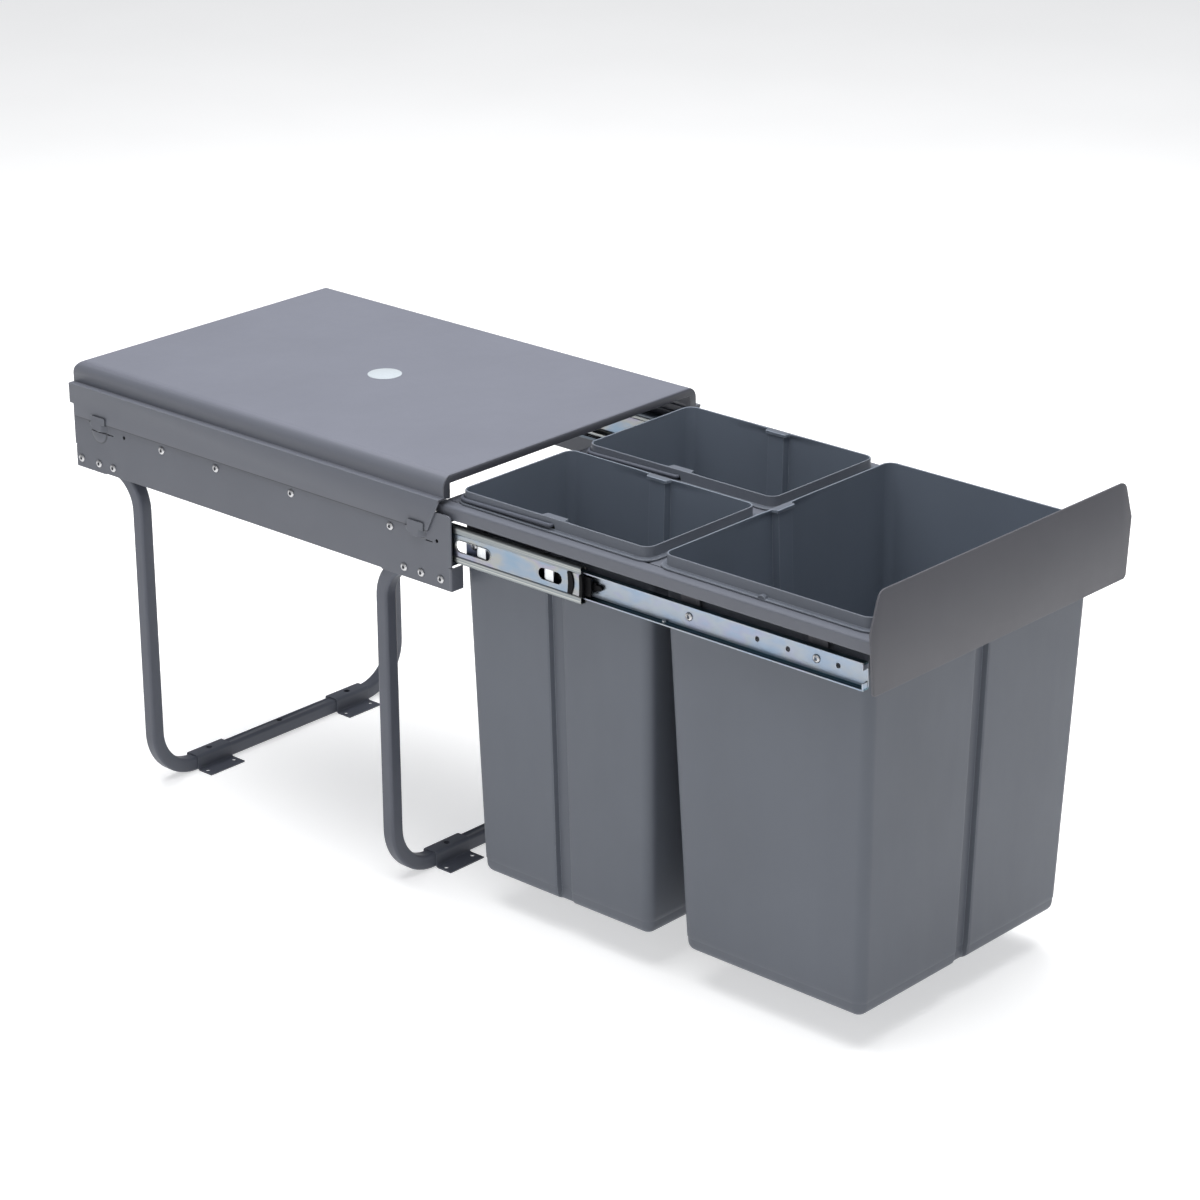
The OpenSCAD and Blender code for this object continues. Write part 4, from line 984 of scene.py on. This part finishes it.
def quarter_turn(steps):
    """Pairs of a share from 0 to 1 and its angle from 0 to a right angle."""
    return [(k / steps, math.pi / 2 * k / steps) for k in range(steps + 1)]


def bin_profile(z0, rim):
    """Rows (height, inset, rib depth, half rib width): up the outside to the rim, and down the inside."""
    seat, band = rim - COLLAR_H, z0 + BAND_H
    out = [(z0 + 1.2, 60, 0), (z0 + 1.2, 16, 0), (z0 + 0.2, 13, 0)]
    out += [(z0 + 8 * (1 - math.cos(t)), 0.6 + 7.5 * (1 - math.sin(t)), RIB * k) for k, t in quarter_turn(6)]
    out += [(band - 0.9, 0.55, RIB), (band - 0.1, 0.45, RIB), (band + 0.5, 0, RIB)]
    out += [(z, 0, RIB) for z in np.linspace(band + 4, seat - 6, 9)]
    out += [(seat - 4.2, 0, 5.0), (seat - 3.2, 0, 1.2), (seat - 2.6, 0, 0), (seat - 0.4, 0, 0)]
    # flange
    out += [(seat, -0.5, 0), (seat, 0.5 - LEDGE, 0), (seat + 0.3, -LEDGE, 0), (seat + 1.4, -LEDGE, 0),
            (seat + 2.0, 0.7 - LEDGE, 0), (seat + 2.0, -1.1, 0), (seat + 2.3, -0.35, 0), (seat + 3.0, 0, 0)]
    # collar and rim
    out += [(rim - 1.0, 0, 0), (rim - 0.25, 0.2, 0), (rim, 0.65, 0)]
    inside = [(rim, WALL - 0.55, CAP - 0.1, CAP_HALF), (rim - 0.3, WALL, CAP, CAP_HALF),
              (rim - 2.6, WALL, CAP, CAP_HALF), (rim - 3.2, WALL, RIB, RIB_HALF)]
    inside += [(z, WALL, RIB, RIB_HALF) for z in np.linspace(rim - 8, band + 6, 10)]
    inside += [(z0 + WALL + 9 * (1 - math.sin(t)), WALL + 8 * (1 - math.cos(t)), RIB * (1 - k), RIB_HALF)
               for k, t in quarter_turn(5)]
    inside += [(z0 + WALL, 20, 0, RIB_HALF), (z0 + WALL, 60, 0, RIB_HALF)]
    return [(*row, GROOVE_HALF) for row in out], inside


print("points in a level line", len(level_line(100, 80, CORNER_R)[0]))

# %% Bins
def make_bin(node, rib_axis, draft_x, draft_y):
    """Bin with ribs on the two walls that face along rib_axis. Its walls draw in by the drafts from the
    flange to the floor."""
    low, high = mm_box(node)
    middle, size = (low + high) / 2, (high - low) / 2 - LEDGE
    seat = high[2] - COLLAR_H
    out, inside = bin_profile(low[2], high[2])
    rings = []
    for z, inset, rib, half in out + inside:
        share = max(0.0, (seat - z) / (seat - low[2]))
        a, b = size[0] - draft_x * share - inset, size[1] - draft_y * share - inset
        points, normals = level_line(a, b, CORNER_R - min(inset, 6))
        offset = np.abs(points[:, 1 - rib_axis])
        ribbed = np.abs(normals[:, rib_axis]) > 0.9
        push = rib * (1 - smooth_step(offset, half - RIB_EDGE, half + RIB_EDGE)) * ribbed
        flat = points - normals * push[:, None] + middle[:2]
        rings.append(np.column_stack([flat, np.full(len(flat), z)]))
    count, around = len(rings), len(rings[0])
    caps = [list(range(around))[::-1], list(range((count - 1) * around, count * around))]
    mesh = closed_mesh(node, np.vstack(rings), grid_faces(count, around, around=True) + caps)
    piece(node.replace("_bin", "_bin_look"), mesh, BIN, MOULDED, node, [node], 0, 38)
    # the inside faces take the lighter plastic: painted light
    within = np.arange(len(mesh.polygons)) >= len(out) * around
    within[-2] = False
    second_material(mesh, BIN_INSIDE_LIT, within)
    print(node, "faces", len(mesh.polygons))


BINS = {"large_bin": (1, 13, 13), "small_bin_left": (0, 10, 8), "small_bin_right": (0, 10, 8)}
for node, (rib_axis, draft_x, draft_y) in BINS.items():
    make_bin(node, rib_axis, draft_x, draft_y)

# %% [markdown]
# The handle wires turn in holes in the collars; a thin black disc in each collar wall is painted
# shade that shows as a dark ring round the wire, and the large bin has a half round nub on each
# side flange where its wire comes to rest.

# %% Handle pivots and nubs
PIVOT_UP, PIVOT_D, NUB_R, NUB_IN = 8.15, 5.9, 4.5, 0.3
for node, (axis, *_) in BINS.items():
    low, high = mm_box(node)
    middle, size = (low + high) / 2, (high - low) / 2 - LEDGE
    ring = stadium(middle[1 - axis], high[2] - PIVOT_UP, PIVOT_D, PIVOT_D, 16)
    arch = corner_arc(middle[1], high[2] - COLLAR_H, NUB_R, 0, 180, 24)
    for sign, word, side in ((-1, "low", "left"), (1, "high", "right")):
        wall = middle[axis] + sign * size[axis]
        # a thin black disc in the collar wall is painted shade for the pivot hole
        hole = drawn_mesh("pivot_hole_shade", ring, "xy"[axis], *sorted((wall - sign * 0.8, wall + sign * 0.07)))
        piece(f"pivot_hole_shade_{node}_{word}", hole, HOLE_SHADE, MOULDED, node, (), 0)
        if node == "large_bin":
            inner = size[0] - NUB_IN
            nub = drawn_mesh("nub", arch, "x", *sorted((sign * inner, sign * (inner + LEDGE + 0.2))))
            piece(f"nub_{side}", nub, BIN, MOULDED, node, (), 0.8)
print("handle pivots", PIVOT_UP, "below the rims")

# %% [markdown]
# ## Floor, light and camera
#
# A pale floor that glows a little, so that it stays white in the picture, under a bright and
# even studio. One broad softbox hangs above, and two weak ones stand at the left and in front.
# The upper one isn't mirrored in glossy faces, which would turn the cover pale.

# %% Floor and lamps
def softbox(name, size, power, place, target, mirrored_too=True):
    """Rectangular lamp at a place that faces a target."""
    light = bpy.data.lights.new(name, "AREA")
    light.shape = "RECTANGLE"
    light.size, light.size_y = size
    light.energy = power
    o = bpy.data.objects.new(name, light)
    o.location = place
    o.visible_glossy = mirrored_too
    o.rotation_euler = (Vector(target) - Vector(place)).to_track_quat("-Z", "Y").to_euler()
    bpy.context.scene.collection.objects.link(o)


bpy.ops.mesh.primitive_plane_add(size=14, location=(0, 0, 0))
floor = bpy.context.object
floor.name = "floor"
backing = Nodes("floor_white")
backing.set(Base_Color=backing.ramp(backing.noise(3.0), (0.3, 0.70), (0.7, 0.74)), Roughness=0.9,
            Emission_Color=(1.0, 1.0, 1.0, 1.0), Emission_Strength=0.52)
floor.data.materials.append(backing.material)

MIDDLE = (0.0, -0.24, 0.25)
softbox("top_box", (2.2, 2.6), 98.0, (0.1, -0.1, 2.2), MIDDLE, False)
softbox("left_box", (1.6, 1.6), 7.0, (-2.4, -0.6, 1.3), MIDDLE)
softbox("front_box", (1.6, 1.4), 1.0, (0.6, -2.8, 1.2), MIDDLE)
print("lamps", len(bpy.data.lights))

# %% [markdown]
# The world is white at the horizon and grey above it, so upright faces are lit from the side
# and the sheet metal doesn't wash out.

# %% World
world = bpy.data.worlds.new("studio")
bpy.context.scene.world = world
world.use_nodes = True
sky = world.node_tree
place = sky.nodes.new("ShaderNodeTexCoord")
split = sky.nodes.new("ShaderNodeSeparateXYZ")
dome = sky.nodes.new("ShaderNodeValToRGB")
sky.links.new(place.outputs["Generated"], split.inputs["Vector"])
sky.links.new(split.outputs["Z"], dome.inputs["Fac"])
sky.links.new(dome.outputs["Color"], sky.nodes["Background"].inputs["Color"])
horizon, zenith = dome.color_ramp.elements
horizon.position, horizon.color = 0.02, (1.0, 1.0, 1.0, 1.0)
zenith.position, zenith.color = 0.20, (0.30, 0.31, 0.33, 1.0)
sky.nodes["Background"].inputs["Strength"].default_value = 0.75
bpy.context.scene.view_settings.view_transform = "Standard"
print("world", world.name)

# %% [markdown]
# The camera stands where the photo was taken from. Its angles, distance and lens were solved
# from the object's own edges in the photo.

# %% Camera
def look_from(azimuth, elevation, roll, target, distance):
    """Camera matrix from angles in degrees; azimuth 0 looks along +Y."""
    az, el, tilt = (math.radians(v) for v in (azimuth, elevation, roll))
    back = Vector((math.sin(az) * math.cos(el), -math.cos(az) * math.cos(el), math.sin(el)))
    right = Vector((0, 0, 1)).cross(back).normalized()
    up = back.cross(right)
    x = math.cos(tilt) * right + math.sin(tilt) * up
    y = -math.sin(tilt) * right + math.cos(tilt) * up
    place = Vector(target) + distance * back
    return Matrix([(x[i], y[i], back[i], place[i]) for i in range(3)] + [(0, 0, 0, 1)])


camera = bpy.data.objects.new("camera", bpy.data.cameras.new("camera"))
camera.data.lens = 109.02
camera.data.sensor_width = 36.0
camera.matrix_world = look_from(azimuth=-47.57, elevation=21.70, roll=-0.365,
                                target=(0.0294, -0.2285, 0.2411), distance=3.3057)
bpy.context.scene.collection.objects.link(camera)
bpy.context.scene.camera = camera
print("camera at", [round(v, 2) for v in camera.matrix_world.translation])
